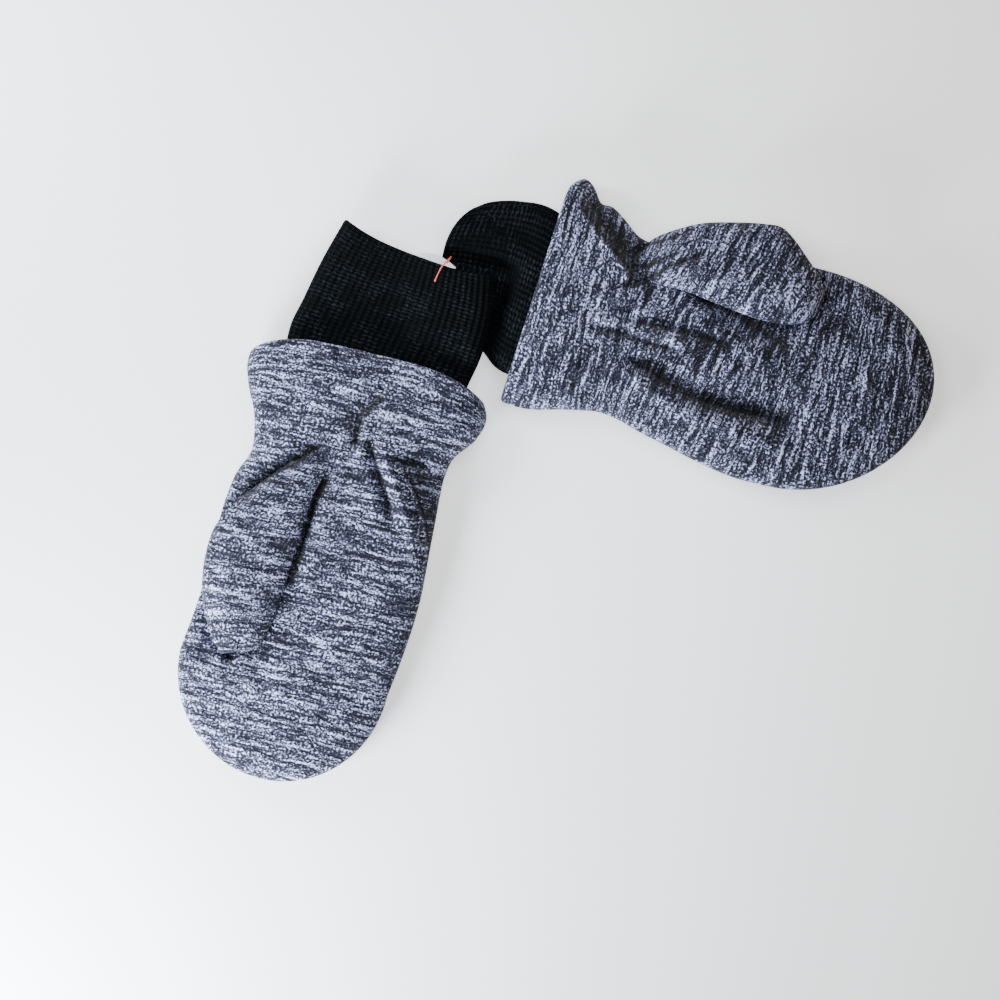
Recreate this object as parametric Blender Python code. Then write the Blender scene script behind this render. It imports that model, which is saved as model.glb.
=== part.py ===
"""A pair of baby mittens laid down palm up, one mitten's knit cuff lying across the other's.

Each mitten is sewn from a back panel, a palm panel, two thumb panels and a knit cuff. The
fleece panels are open shells: a hand goes in through the cuff, and the thumb has its own
way out of the hand space. Sizes are in millimetres in each mitten's own frame: s runs from
the gathered wrist towards the fingertips, t towards the thumb's side, and z up.
"""

import math
from collections import namedtuple

import bpy
import numpy as np

MM = 0.001

FLEECE = 2.4  # thickness of a fleece panel
HEM = 3.3  # thickness of the turned hem round the flare
HEM_WIDTH = 7.0
THUMB_FLEECE = 1.7
SEAM = 5.5  # height of the side seams over the surface the mitten lies on
THUMB_SEAM = 3.2  # height of the thumb's seams over its own underside
GAP = 0.3  # between two pieces at a seam
BED_GAP = 0.5  # between the palm and the thumb that lies on it
BED_FADE = 0.5  # the thumb's bed fades this much slower past its tip than beside it
FLAT_SHARE = 0.74  # share of the back panel's half-width that lies flat
EDGE_FLAT_STEPS = 0.6  # share of the grid's steps spent on that flat part
TIP_ANGLE = 89.0  # degrees: how far round the fingertip arc the last row of points is
NARROWEST = 3.0  # the narrowest fold that the panels' points can carry
STEEPEST = 0.8  # a fold's depth over its width, at most

RIBS = 60  # knit ribs round a cuff
RIB_DEPTH = 0.5
RIB_WALL = 1.6  # from the inside of a cuff to the top of a rib
CUFF_ROWS = 7

LABEL_WIDTH = 9.6
LABEL_LENGTH = 14.0
LABEL_THICK = 0.5

PALM_COLUMNS = 32
BACK_COLUMNS = 20
THUMB_COLUMNS = 14
THUMB_ROWS = 16

Section = namedtuple("Section", "s thumb_edge far_edge crown fullness")
ThumbRow = namedtuple("ThumbRow", "s near far high bed")
Fold = namedtuple("Fold", "path width depth")
Rung = namedtuple("Rung", "thumb_s thumb_t far_s far_t thumb_z far_z thumb_high far_high bow")
Mitten = namedtuple(
    "Mitten",
    "name wrist turn side sections tip_length tip_centre rim rim_bow rim_slant "
    "gathers palm_folds thumb_rows thumb_skew thumb_folds cuff cuff_step",
)

HEATHER = (0.135, 0.137, 0.165)
BLACK_KNIT = (0.004, 0.005, 0.007)
SATIN = (0.72, 0.72, 0.72)

LEFT = Mitten(
    name="a",
    wrist=(-65.58, 9.27),
    turn=-103.5,
    side=-1,
    sections=[
        Section(-26, 38.3, 37.0, 18.0, 3.0),
        Section(-20, 38.8, 39.8, 18.0, 3.0),
        Section(-12, 36.5, 37.8, 17.4, 3.0),
        Section(-5, 33.2, 32.6, 16.6, 2.9),
        Section(1, 31.6, 31.2, 15.8, 2.8),
        Section(8, 31.0, 31.2, 15.4, 2.6),
        Section(15, 33.8, 31.6, 15.0, 2.5),
        Section(24, 35.4, 32.0, 14.8, 2.4),
        Section(43, 35.6, 32.8, 14.2, 2.4),
        Section(60, 36.6, 31.6, 13.6, 2.4),
        Section(74, 38.3, 29.7, 13.2, 2.4),
    ],
    tip_length=35.0,
    tip_centre=3.6,
    rim=-31.5,
    rim_bow=6.0,
    rim_slant=0.0,
    gathers=7.3,
    palm_folds=[
        Fold([(-14.2, -4.1), (-10.6, -1.6), (-5.5, 0.2), (0.5, -1.8)], 1.7, 2.2),
        Fold([(1.0, -8.4), (7.0, -10.8), (12.8, -13.9)], 1.8, 2.6),
        Fold([(-1.0, -15.4), (7.1, -21.1), (12.7, -25.3), (19.0, -27.8), (25.0, -28.6)], 3.2, 3.8),
        Fold([(-6.0, 20.5), (3.0, 22.0)], 1.8, 1.6),
    ],
    thumb_rows=[
        ThumbRow(2.5, 6.2, 12.0, 4.6, 13.4),
        ThumbRow(6.0, 5.6, 15.6, 6.6, 12.4),
        ThumbRow(11.0, 6.6, 20.4, 8.0, 11.4),
        ThumbRow(17.0, 8.2, 25.6, 8.8, 10.8),
        ThumbRow(25.0, 8.9, 32.2, 9.2, 10.4),
        ThumbRow(34.0, 9.6, 36.5, 9.4, 10.4),
        ThumbRow(43.0, 10.0, 37.3, 9.4, 10.4),
        ThumbRow(52.0, 10.4, 36.2, 9.2, 10.4),
        ThumbRow(60.0, 11.3, 33.2, 8.8, 10.4),
        ThumbRow(66.0, 12.6, 29.6, 8.0, 10.5),
        ThumbRow(69.8, 14.2, 26.6, 7.2, 10.5),
        ThumbRow(71.2, 15.6, 25.0, 6.8, 10.6),
    ],
    thumb_skew=1.6,
    thumb_folds=[
        Fold([(9.0, 11.0), (20.0, 16.5), (30.0, 18.5)], 2.4, 0.7),
        Fold([(62.0, 15.0), (66.5, 20.0), (66.0, 26.5)], 1.5, 0.9),
    ],
    cuff=[
        Rung(-5, 23.6, -5, -24.2, 2.9, 2.9, 8.5, 8.5, 0.0),
        Rung(-18, 27.0, -17, -29.4, 3.2, 3.2, 9.0, 9.0, 0.0),
        Rung(-33, 28.2, -29, -31.7, 3.8, 3.9, 9.2, 9.0, 0.0),
        Rung(-44, 26.0, -39, -33.6, 3.2, 6.7, 9.4, 8.4, 0.0),
        Rung(-57, 23.2, -52, -34.0, 2.9, 6.8, 9.4, 8.2, 1.0),
        Rung(-71.6, 19.0, -65.6, -32.3, 2.8, 6.6, 9.2, 8.0, 2.6),
    ],
    cuff_step=(0.0, -13.0),
)

RIGHT = Mitten(
    name="b",
    wrist=(23.42, 47.37),
    turn=-13.0,
    side=1,
    sections=[
        Section(-34, 42.6, 31.4, 18.0, 3.0),
        Section(-25, 44.2, 31.8, 18.0, 3.0),
        Section(-19, 40.2, 30.2, 17.8, 3.0),
        Section(-12, 35.8, 28.8, 17.3, 3.0),
        Section(-4, 30.2, 27.5, 16.4, 2.9),
        Section(2, 28.9, 28.3, 15.8, 2.8),
        Section(10, 30.2, 30.7, 15.4, 2.6),
        Section(20, 32.4, 33.2, 15.0, 2.4),
        Section(30, 33.9, 35.8, 14.6, 2.4),
        Section(43, 34.0, 38.2, 14.0, 2.4),
        Section(54, 33.1, 38.5, 13.4, 2.4),
    ],
    tip_length=45.2,
    tip_centre=1.2,
    rim=-32.2,
    rim_bow=0.0,
    rim_slant=3.0,
    gathers=6.6,
    palm_folds=[
        Fold([(-20.0, 34.2), (-12.5, 27.6), (-5.0, 22.4)], 2.6, 2.4),
        Fold([(-7.0, 12.4), (-1.0, 11.6)], 1.3, 1.3),
        Fold([(0.8, 2.8), (17.8, 3.8), (30.8, 2.1)], 1.7, 1.8),
        Fold([(-3.5, -2.0), (5.3, -3.2), (15.0, -4.2), (19.6, -9.0)], 1.7, 1.7),
        Fold([(-3.0, -8.0), (2.4, -9.6), (15.5, -14.7), (29.1, -16.7), (41.1, -16.7), (50.0, -18.4)], 3.0, 2.8),
        Fold([(-17.5, -21.8), (-6.1, -14.6), (0.0, -10.6)], 2.6, -1.0),
    ],
    thumb_rows=[
        ThumbRow(-3.0, 18.2, 24.4, 4.6, 14.0),
        ThumbRow(0.0, 17.2, 29.4, 6.4, 13.0),
        ThumbRow(5.0, 16.3, 33.4, 8.0, 11.6),
        ThumbRow(14.5, 16.1, 38.0, 9.0, 10.8),
        ThumbRow(25.0, 15.3, 41.4, 9.4, 10.4),
        ThumbRow(34.0, 13.3, 42.7, 9.4, 10.4),
        ThumbRow(41.0, 12.6, 42.9, 9.2, 10.4),
        ThumbRow(46.5, 12.7, 40.6, 9.0, 10.4),
        ThumbRow(51.6, 13.8, 35.8, 8.4, 10.4),
        ThumbRow(55.4, 16.2, 30.6, 7.6, 10.5),
        ThumbRow(57.6, 19.0, 26.8, 6.8, 10.6),
    ],
    thumb_skew=0.0,
    thumb_folds=[
        Fold([(-2.6, 20.0), (6.1, 25.7), (16.5, 32.4)], 1.9, 2.0),
        Fold([(-2.2, 17.8), (5.8, 20.6), (17.6, 27.8)], 1.8, 1.6),
        Fold([(20.0, 24.0), (32.0, 30.0), (40.0, 38.0)], 3.0, 0.6),
    ],
    cuff=[
        Rung(-5, 17.6, -5, -21.5, 2.9, 2.9, 8.4, 8.4, 0.0),
        Rung(-18, 25.5, -18, -23.2, 3.2, 3.2, 9.0, 8.8, 0.0),
        Rung(-32.5, 32.4, -36.5, -22.0, 3.8, 3.9, 9.2, 8.4, 0.0),
        Rung(-43, 32.6, -44.5, -16.8, 3.0, 0.2, 9.4, 6.1, 0.0),
        Rung(-52, 30.4, -51.5, -13.5, 2.9, 0.0, 9.4, 6.0, -3.0),
        Rung(-57.5, 27.0, -57.5, -11.5, 2.8, 0.0, 9.2, 5.8, -6.2),
    ],
    cuff_step=(14.5, 8.5),
)


def ease(start, end, value):
    """0 before start, 1 after end, with a smooth cubic step between them."""
    share = np.clip((value - start) / (end - start), 0.0, 1.0)
    return share * share * (3.0 - 2.0 * share)


def through(value, knots, heights):
    """A smooth curve through a table's rows: cubic pieces whose slopes come from the neighbouring rows."""
    knots = np.asarray(knots, float)
    heights = np.asarray(heights, float)
    slopes = np.gradient(heights, knots)
    value = np.clip(value, knots[0], knots[-1])
    row = np.clip(np.searchsorted(knots, value, side="right") - 1, 0, len(knots) - 2)
    step = knots[row + 1] - knots[row]
    u = (value - knots[row]) / step
    return (
        (1 + 2 * u) * (1 - u) ** 2 * heights[row]
        + u * (1 - u) ** 2 * step * slopes[row]
        + u * u * (3 - 2 * u) * heights[row + 1]
        + u * u * (u - 1) * step * slopes[row + 1]
    )


def column(rows, name):
    return [getattr(row, name) for row in rows]


def by_s(rows, name, s):
    return through(s, column(rows, "s"), column(rows, name))


def relief(folds, s, t, widen=0.0):
    """Height that the folds add: along each path a trough, deep in the middle and fading at its ends,
    with a low swelling on both sides. A widened trough, for a wall's inside, has no swelling."""
    total = np.zeros(np.broadcast(s, t).shape)
    for fold in folds:
        path = np.asarray(fold.path, float)
        starts, runs = path[:-1], np.diff(path, axis=0)
        lengths = np.hypot(runs[:, 0], runs[:, 1])
        before = np.concatenate([[0.0], np.cumsum(lengths)[:-1]])
        nearest = np.full(total.shape, np.inf)
        along = np.zeros(total.shape)
        for start, run, length, done in zip(starts, runs, lengths, before):
            share = ((s - start[0]) * run[0] + (t - start[1]) * run[1]) / length**2
            share = np.clip(share, 0.0, 1.0)
            away = np.hypot(s - start[0] - share * run[0], t - start[1] - share * run[1])
            closer = away < nearest
            nearest = np.where(closer, away, nearest)
            along = np.where(closer, (done + share * length) / lengths.sum(), along)
        fading = ease(0.0, 0.3, along) * ease(1.0, 0.7, along)
        width = max(fold.width, NARROWEST)
        depth = np.clip(fold.depth, -STEEPEST * width, STEEPEST * width)
        trough = np.exp(-((nearest / (width + widen)) ** 2))
        if widen == 0.0:
            trough -= 0.28 * np.exp(-(((nearest - 2.3 * width) / (1.2 * width)) ** 2))
        total -= depth * fading * trough
    return total


def gathers(mitten, s, t):
    """Ridges that the elastic draws up across the wrist: round tops and sharp valleys, unevenly
    spaced, longest on the hand's side and fading both ways from the wrist."""
    phase = math.pi * (t + 1.4 * np.sin(t * 0.23 + 0.8)) / mitten.gathers
    reach = 9.0 + 3.0 * np.cos(t * 0.31 + 1.0)
    fading = np.exp(-((s / np.where(s > 0, reach, 1.25 * reach)) ** 2))
    return 1.5 * fading * (np.abs(np.sin(phase)) - 0.62)


def body_place(mitten, r, theta, v, inset):
    """(s, t, u) of body points. Up to the last section the edges come from the table; after it
    the outline is half an ellipse, theta round it, and u is how far along the ellipse a row is."""
    last = mitten.sections[-1]
    drawn = ease(-8.0, mitten.rim, r)
    bow, slant = mitten.rim_bow * drawn, mitten.rim_slant * drawn
    thumb_edge = by_s(mitten.sections, "thumb_edge", r + bow + slant)
    far_edge = by_s(mitten.sections, "far_edge", r + bow - slant)
    u = np.sin(theta)
    centre = (thumb_edge - far_edge) / 2
    centre = centre + (mitten.tip_centre - (last.thumb_edge - last.far_edge) / 2) * u * u
    half = ((thumb_edge + far_edge) / 2 - inset) * np.cos(theta)
    s = r + (mitten.tip_length - inset) * u + bow * v**4 + slant * v
    return s, centre + half * v, u


def distance_out(u, v):
    """0 on the hand's middle line, 1 on its outline."""
    return np.sqrt(np.clip(u * u + v * v * (1 - u * u), 0.0, 1.0))


def dome(out, fullness):
    return (1 - np.clip(out, 0.0, 1.0) ** fullness) ** (1 / fullness)


def rising(out):
    """0 on the flat part of an underside, then a quarter round up to 1 on the outline."""
    share = np.clip((out - FLAT_SHARE) / (1 - FLAT_SHARE), 0.0, 1.0)
    return 1 - np.sqrt(1 - share * share)


def crown(mitten, s, t, inner):
    """Height of the palm's middle over the seams, with its folds, gathers and the thumb's bed."""
    rows = mitten.thumb_rows
    high = by_s(mitten.sections, "crown", s)
    aside = np.maximum(by_s(rows, "near", s) - t, t - by_s(rows, "far", s))
    beyond = np.maximum(BED_FADE * (s - rows[-1].s), rows[0].s - s)
    away = np.hypot(np.maximum(aside, 0), np.maximum(beyond, 0))
    bed = 1 - ease(1.0, 10.0, away)
    high = high + (by_s(rows, "bed", s) - high) * bed
    high = high + relief(mitten.palm_folds, s, t, 2.5 if inner else 0.0) * (1 - bed)
    if not inner:
        high = high + gathers(mitten, s, t) * (1 - bed)
    return high - SEAM


def palm_top(mitten, s, t):
    """Height of the palm's outer face over any place on it, for the thumb that lies there."""
    last = mitten.sections[-1]
    u = np.clip((s - last.s) / mitten.tip_length, 0.0, 0.999)
    _, middle, _ = body_place(mitten, np.minimum(s, last.s), np.arcsin(u), 0.0, 0.0)
    _, edge, _ = body_place(mitten, np.minimum(s, last.s), np.arcsin(u), 1.0, 0.0)
    t = np.minimum(t, edge - 3.0)
    out = distance_out(u, (t - middle) / (edge - middle))
    full = by_s(mitten.sections, "fullness", s)
    return SEAM + GAP / 2 + crown(mitten, s, t, False) * dome(out, full)


def stations(mitten, steps):
    """The rows of a body panel: r along the hand, then theta round the fingertips."""
    last = mitten.sections[-1].s
    runs = [
        [mitten.rim, mitten.rim + 0.7],
        np.linspace(mitten.rim + 2.2, -13, steps[0], endpoint=False),
        np.linspace(-13, 27, steps[1], endpoint=False),
        np.linspace(27, last, steps[2], endpoint=False),
    ]
    straight = np.concatenate(runs)
    round_tip = np.radians(np.linspace(0, TIP_ANGLE, steps[3]))
    r = np.concatenate([straight, np.full(steps[3], last)])
    theta = np.concatenate([np.zeros(len(straight)), round_tip])
    return r[:, None], theta[:, None]


def wall_inset(mitten, r, inner):
    """How far a face lies inside the panel's outer form: the hem is thicker, and its end is round."""
    past_hem = mitten.rim + HEM_WIDTH
    thick = FLEECE + (HEM - FLEECE) * ease(past_hem + 3.0, past_hem, r)
    back = np.clip((mitten.rim + thick / 2 - r) / (thick / 2), 0.0, 1.0)
    half = np.sqrt(1 - 0.86 * back * back)
    return thick / 2 * (1 + half if inner else 1 - half)


def spread(count):
    """Columns across a domed panel, a little closer at its edges than in its middle."""
    p = np.linspace(-1, 1, count + 1)
    return np.sin(np.pi / 2 * p * (0.82 + 0.18 * p * p))


def spread_flat(count):
    """Columns across an underside: even over the flat part, then round its rising edge."""
    p = np.linspace(-1, 1, count + 1)
    turn = np.clip((np.abs(p) - EDGE_FLAT_STEPS) / (1 - EDGE_FLAT_STEPS), 0.0, 1.0)
    flat = np.minimum(np.abs(p) / EDGE_FLAT_STEPS, 1.0) * FLAT_SHARE
    return np.sign(p) * (flat + (1 - FLAT_SHARE) * np.sin(np.pi / 2 * turn))


def palm_face(mitten, r, theta, v, inner):
    inset = wall_inset(mitten, r, inner)
    s, t, u = body_place(mitten, r, theta, v, inset)
    full = by_s(mitten.sections, "fullness", r)
    high = crown(mitten, s, t, inner) - inset
    z = SEAM + GAP / 2 + high * dome(distance_out(u, v), full)
    return stack(s, t, z)


def back_face(mitten, r, theta, v, inner):
    """The underside: flat where it lies, its edges turned up to the seams, drawn up in short
    gathers across the wrist."""
    inset = wall_inset(mitten, r, inner)
    s, t, u = body_place(mitten, r, theta, v, inset)
    seam = SEAM - GAP / 2
    z = inset + (seam - inset) * rising(distance_out(u, v))
    if not inner:
        drawn = np.clip(-gathers(mitten, s, t + 3.0), 0.0, 0.9)
        z = z + drawn * (1 - rising(distance_out(u, v)))
    return stack(s, t, z)


def thumb_place(mitten, q, v, inset):
    """(s, t, out) of thumb points: q counts the table's rows, and both ends close round."""
    rows = mitten.thumb_rows
    count = np.arange(len(rows))
    s, near, far = (through(q, count, column(rows, name)) for name in ("s", "near", "far"))
    first, last = rows[0].s, rows[-1].s
    middle = (first + last) / 2
    end = np.maximum((s - last) / 8.0 + 1, (first - s) / 9.0 + 1)
    end = np.clip(end, 0.0, 1.0)
    shrink = 1 - inset / (last - middle)
    skew = mitten.thumb_skew * ease(middle, last, s) * v
    s = middle + (s - middle) * shrink + skew
    t = (near + far) / 2 + ((far - near) / 2 - inset) * v
    return s, t, distance_out(end, v)


def thumb_under_face(mitten, q, v, inner):
    inset = THUMB_FLEECE if inner else 0.0
    s, t, out = thumb_place(mitten, q, v, inset)
    bed = palm_top(mitten, s, t) + BED_GAP
    return stack(s, t, bed + inset + (THUMB_SEAM - inset) * rising(out))


def thumb_over_face(mitten, q, v, inner):
    inset = THUMB_FLEECE if inner else 0.0
    s, t, out = thumb_place(mitten, q, v, inset)
    bed = palm_top(mitten, s, t) + BED_GAP
    rows = mitten.thumb_rows
    high = through(q, np.arange(len(rows)), column(rows, "high")) - THUMB_SEAM - inset
    high = high + relief(mitten.thumb_folds, s, t, 2.0 if inner else 0.0)
    return stack(s, t, bed + THUMB_SEAM + GAP + high * dome(out, 2.3))


def ring(count):
    """Points once round a flattened tube: (x, side, turn). x runs along the flat stretches, side
    is which rounded edge a point belongs to, and turn is its angle up from that edge's middle."""
    arc = 0.106
    flat = 0.5 - arc
    p = (np.arange(count) + 0.5) / count
    half = np.where(p < 0.5, p, p - 0.5)
    x = 1 - 2 * np.clip((half - arc / 2) / flat, 0.0, 1.0)
    x = np.where(p < 0.5, x, -x)
    turned = np.clip(half / arc, 0.0, 0.5) + np.clip((half - flat - arc / 2) / arc, 0.0, 0.5)
    angle = np.where(p < 0.5, 1.0, -1.0) * np.minimum(turned, 1 - turned) * np.pi
    return x, np.sign(x), angle


def cuff_face(mitten, rows, count, wall, ribbed):
    """A flattened knit tube from inside the wrist to its mouth: each row crosses the tube between
    a point on the thumb's side and one on the far side, and has its own rest height and height."""
    table = mitten.cuff
    knots = np.arange(len(table))
    q = np.linspace(0, len(table) - 1, rows)[:, None]
    at = {name: through(q, knots, column(table, name)) for name in Rung._fields}
    x, side, angle = ring(count)
    inset = wall + (RIB_DEPTH * (np.arange(count) % 2) if ribbed else 0.0)
    width = np.hypot(at["thumb_s"] - at["far_s"], at["thumb_t"] - at["far_t"]) / 2
    edge = (at["thumb_high"] + at["far_high"]) / 4
    across = ((width - edge) * x + side * (edge - inset) * np.cos(angle)) / width
    share = (across + 1) / 2
    s = at["far_s"] + (at["thumb_s"] - at["far_s"]) * share + at["bow"] * (1 - np.abs(across) ** 3)
    t = at["far_t"] + (at["thumb_t"] - at["far_t"]) * share
    step = ease(mitten.cuff_step[0], mitten.cuff_step[1], t)
    low = np.maximum(at["thumb_z"] + (at["far_z"] - at["thumb_z"]) * step, 0.0)
    tall = at["thumb_high"] + (at["far_high"] - at["thumb_high"]) * step
    z = low + tall / 2 + (tall / 2 - inset) * np.sin(angle)
    return stack(s, t, z)


def stack(s, t, z):
    return np.stack(np.broadcast_arrays(s, t, z), axis=-1)


def placed(mitten, points):
    """Points in the pair's own frame, in metres: s along the hand and t towards the thumb."""
    turn = math.radians(mitten.turn)
    along = np.array([math.cos(turn), math.sin(turn), 0.0])
    aside = mitten.side * np.array([-math.sin(turn), math.cos(turn), 0.0])
    start = np.array([*mitten.wrist, 0.0])
    up = np.array([0.0, 0.0, 1.0])
    world = points[..., :1] * along + points[..., 1:2] * aside + points[..., 2:] * up
    return (world + start) * MM


def wall_faces(outer, inner):
    """Triangles of the edge wall over one coarse edge: outer holds the fine points' indices along
    it and inner the two coarse ones."""
    turn_at = len(outer) // 2
    faces = []
    for k in range(len(outer) - 1):
        faces.append((outer[k + 1], outer[k], inner[0] if k < turn_at else inner[1]))
    faces.append((outer[turn_at], inner[0], inner[1]))
    return faces


def shell_faces(outer_shape, inner_shape, around, hole):
    """Faces of a wall: a fine outer grid, a coarse inner one, and strips that join them along
    every edge, also round a hole in the coarse cells."""
    rows, columns = inner_shape[0] - 1, inner_shape[1] - (0 if around else 1)
    fine_i = (outer_shape[0] - 1) // rows
    fine_j = (outer_shape[1] - (0 if around else 1)) // columns
    start = outer_shape[0] * outer_shape[1]

    def out_at(i, j):
        return i * outer_shape[1] + j % outer_shape[1]

    def in_at(i, j):
        return start + i * inner_shape[1] + j % inner_shape[1]

    def kept(i, j):
        if around:
            j %= columns
        inside = 0 <= i < rows and 0 <= j < columns
        return inside and not (hole and hole[0] <= i < hole[1] and hole[2] <= j < hole[3])

    faces = []
    for i in range(rows):
        for j in range(columns):
            if not kept(i, j):
                continue
            for di in range(i * fine_i, (i + 1) * fine_i):
                for dj in range(j * fine_j, (j + 1) * fine_j):
                    corners = [(di, dj), (di + 1, dj), (di + 1, dj + 1), (di, dj + 1)]
                    faces.append([out_at(*corner) for corner in corners])
            ring_of_cell = [(i, j), (i + 1, j), (i + 1, j + 1), (i, j + 1)]
            faces.append([in_at(*corner) for corner in reversed(ring_of_cell)])
            beside = [(i, j - 1), (i + 1, j), (i, j + 1), (i - 1, j)]
            for k, neighbour in enumerate(beside):
                if kept(*neighbour):
                    continue
                (i0, j0), (i1, j1) = ring_of_cell[k], ring_of_cell[(k + 1) % 4]
                steps = fine_i if i0 != i1 else fine_j
                line = [
                    out_at(
                        i0 * fine_i + (i1 - i0) * fine_i * step // steps,
                        j0 * fine_j + (j1 - j0) * fine_j * step // steps,
                    )
                    for step in range(steps + 1)
                ]
                faces += wall_faces(line, (in_at(i0, j0), in_at(i1, j1)))
    return faces


def volume(points, faces):
    """Signed volume inside closed faces, each fanned into triangles."""
    total = 0.0
    for face in faces:
        for k in range(1, len(face) - 1):
            first, second, third = points[face[0]], points[face[k]], points[face[k + 1]]
            total += np.dot(first, np.cross(second, third))
    return total / 6


def add_shell(mitten, name, outer, inner, finish, around=False, hole=None):
    """One closed wall as a named object, its faces pointing out."""
    faces = shell_faces(outer.shape, inner.shape, around, hole)
    points = np.concatenate([outer.reshape(-1, 3), inner.reshape(-1, 3)])
    points = placed(mitten, points)
    used = sorted({index for face in faces for index in face})
    place = {index: k for k, index in enumerate(used)}
    points = points[used]
    faces = [[place[index] for index in face] for face in faces]
    if volume(points / MM, faces) < 0:
        faces = [face[::-1] for face in faces]
    mesh = bpy.data.meshes.new(f"{name}_{mitten.name}")
    mesh.from_pydata(points.tolist(), [], faces)
    mesh.shade_smooth()
    mesh.set_sharp_from_angle(angle=math.radians(60))
    mesh.materials.append(finish)
    made = bpy.data.objects.new(mesh.name, mesh)
    bpy.context.scene.collection.objects.link(made)
    return made


def cells_over(s_values, t_values, s_range, t_range):
    """The block of coarse cells whose corners lie inside a rectangle, for a hole."""
    rows = [k for k, s in enumerate(s_values) if s_range[0] <= s <= s_range[1]]
    columns = [k for k, t in enumerate(t_values) if t_range[0] <= t <= t_range[1]]
    return rows[0], rows[-1], columns[0], columns[-1]


def thumb_way(mitten):
    """The rectangle (s range, t range) where the hand space opens into the thumb."""
    rows = mitten.thumb_rows
    first = rows[0].s + 11.0
    middle = by_s(rows, "near", first + 8.0) / 2 + by_s(rows, "far", first + 8.0) / 2
    return (first, first + 17.0), (float(middle) - 7.0, float(middle) + 7.0)


def add_palm(mitten, fleece):
    r, theta = stations(mitten, (4, 20, 6, 11))
    v = spread(PALM_COLUMNS)
    outer = palm_face(mitten, r, theta, v, False)
    inner = palm_face(mitten, r[::2], theta[::2], v[::2], True)
    s_range, t_range = thumb_way(mitten)
    middle_row = int(np.argmin(np.abs(r[::2, 0] - sum(s_range) / 2)))
    hole = cells_over(r[::2, 0], inner[middle_row, :, 1], s_range, t_range)
    return add_shell(mitten, "palm", outer, inner, fleece, hole=hole)


def add_back(mitten, fleece):
    r, theta = stations(mitten, (3, 7, 4, 9))
    v = spread_flat(BACK_COLUMNS)
    outer = back_face(mitten, r, theta, v, False)
    inner = back_face(mitten, r[::2], theta[::2], v[::2], True)
    return add_shell(mitten, "back", outer, inner, fleece)


def add_thumb(mitten, fleece):
    last = len(mitten.thumb_rows) - 1
    q = np.linspace(0, last, THUMB_ROWS + 1)[:, None]
    over = spread(THUMB_COLUMNS)
    add_shell(
        mitten,
        "thumb_outer",
        thumb_over_face(mitten, q, over, False),
        thumb_over_face(mitten, q[::2], over[::2], True),
        fleece,
    )
    under = spread_flat(THUMB_COLUMNS)
    outer = thumb_under_face(mitten, q, under, False)
    inner = thumb_under_face(mitten, q[::2], under[::2], True)
    s_range, t_range = thumb_way(mitten)
    s_values = inner[:, THUMB_COLUMNS // 4, 0]
    middle_row = int(np.argmin(np.abs(s_values - sum(s_range) / 2)))
    hole = cells_over(s_values, inner[middle_row, :, 1], s_range, t_range)
    add_shell(mitten, "thumb_inner", outer, inner, fleece, hole=hole)


def add_cuff(mitten, knit):
    outer = cuff_face(mitten, CUFF_ROWS, 2 * RIBS, 0.0, True)
    inner = cuff_face(mitten, CUFF_ROWS, RIBS // 2, RIB_WALL, False)
    add_shell(mitten, "cuff", outer, inner, knit, around=True)


def add_care_label(mitten, satin):
    """A blank satin label, sewn inside the mouth of the cuff under its upper wall and standing a
    little out of it: a flat strip with a slight curl."""
    mouth = mitten.cuff[-1]
    across = np.linspace(-0.5, 0.5, 5)
    along = np.linspace(0, 1, 7)[:, None]
    middle_t = -14.6
    share = (middle_t - mouth.far_t) / (mouth.thumb_t - mouth.far_t)
    edge_s = mouth.far_s + (mouth.thumb_s - mouth.far_s) * share
    edge_s += mouth.bow * (1 - abs(2 * share - 1) ** 3)
    s = edge_s + LABEL_LENGTH * along - 2.2 + 1.4 * across
    t = middle_t + LABEL_WIDTH * across + 0.0 * along
    step = ease(mitten.cuff_step[0], mitten.cuff_step[1], t)
    ceiling = mouth.thumb_z + (mouth.far_z - mouth.thumb_z) * step + mouth.far_high - RIB_WALL
    top = stack(s, t, ceiling - 0.9 - 0.25 * np.cos(2 * np.pi * across))
    under = top - np.array([0.0, 0.0, LABEL_THICK])
    add_shell(mitten, "care_label", top, under, satin)


def finish_of(name, colour, roughness, sheen):
    """A cloth material in its plain colour."""
    material = bpy.data.materials.new(name)
    material.use_nodes = True
    shader = material.node_tree.nodes["Principled BSDF"]
    shader.inputs["Base Color"].default_value = (*colour, 1.0)
    shader.inputs["Roughness"].default_value = roughness
    shader.inputs["Metallic"].default_value = 0.0
    shader.inputs["Sheen Weight"].default_value = sheen
    return material


def main():
    for thing in list(bpy.data.objects):
        bpy.data.objects.remove(thing)
    fleece = finish_of("heather_fleece", HEATHER, 0.95, 0.4)
    knit = finish_of("black_rib_knit", BLACK_KNIT, 0.9, 0.2)
    satin = finish_of("white_satin", SATIN, 0.4, 0.0)
    for mitten in (LEFT, RIGHT):
        add_palm(mitten, fleece)
        add_back(mitten, fleece)
        add_thumb(mitten, fleece)
        add_cuff(mitten, knit)
    add_care_label(LEFT, satin)


main()
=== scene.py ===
"""Looks for a pair of baby mittens laid palm up: marled fleece panels and thumbs, black rib-knit
cuffs, a satin label with its loose tacking thread, and the surface they lie on.

Shapes are worked out in each mitten's own frame, in millimetres: s runs from the gathered wrist
towards the fingertips, t towards the thumb's side, and z up.
"""

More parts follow.
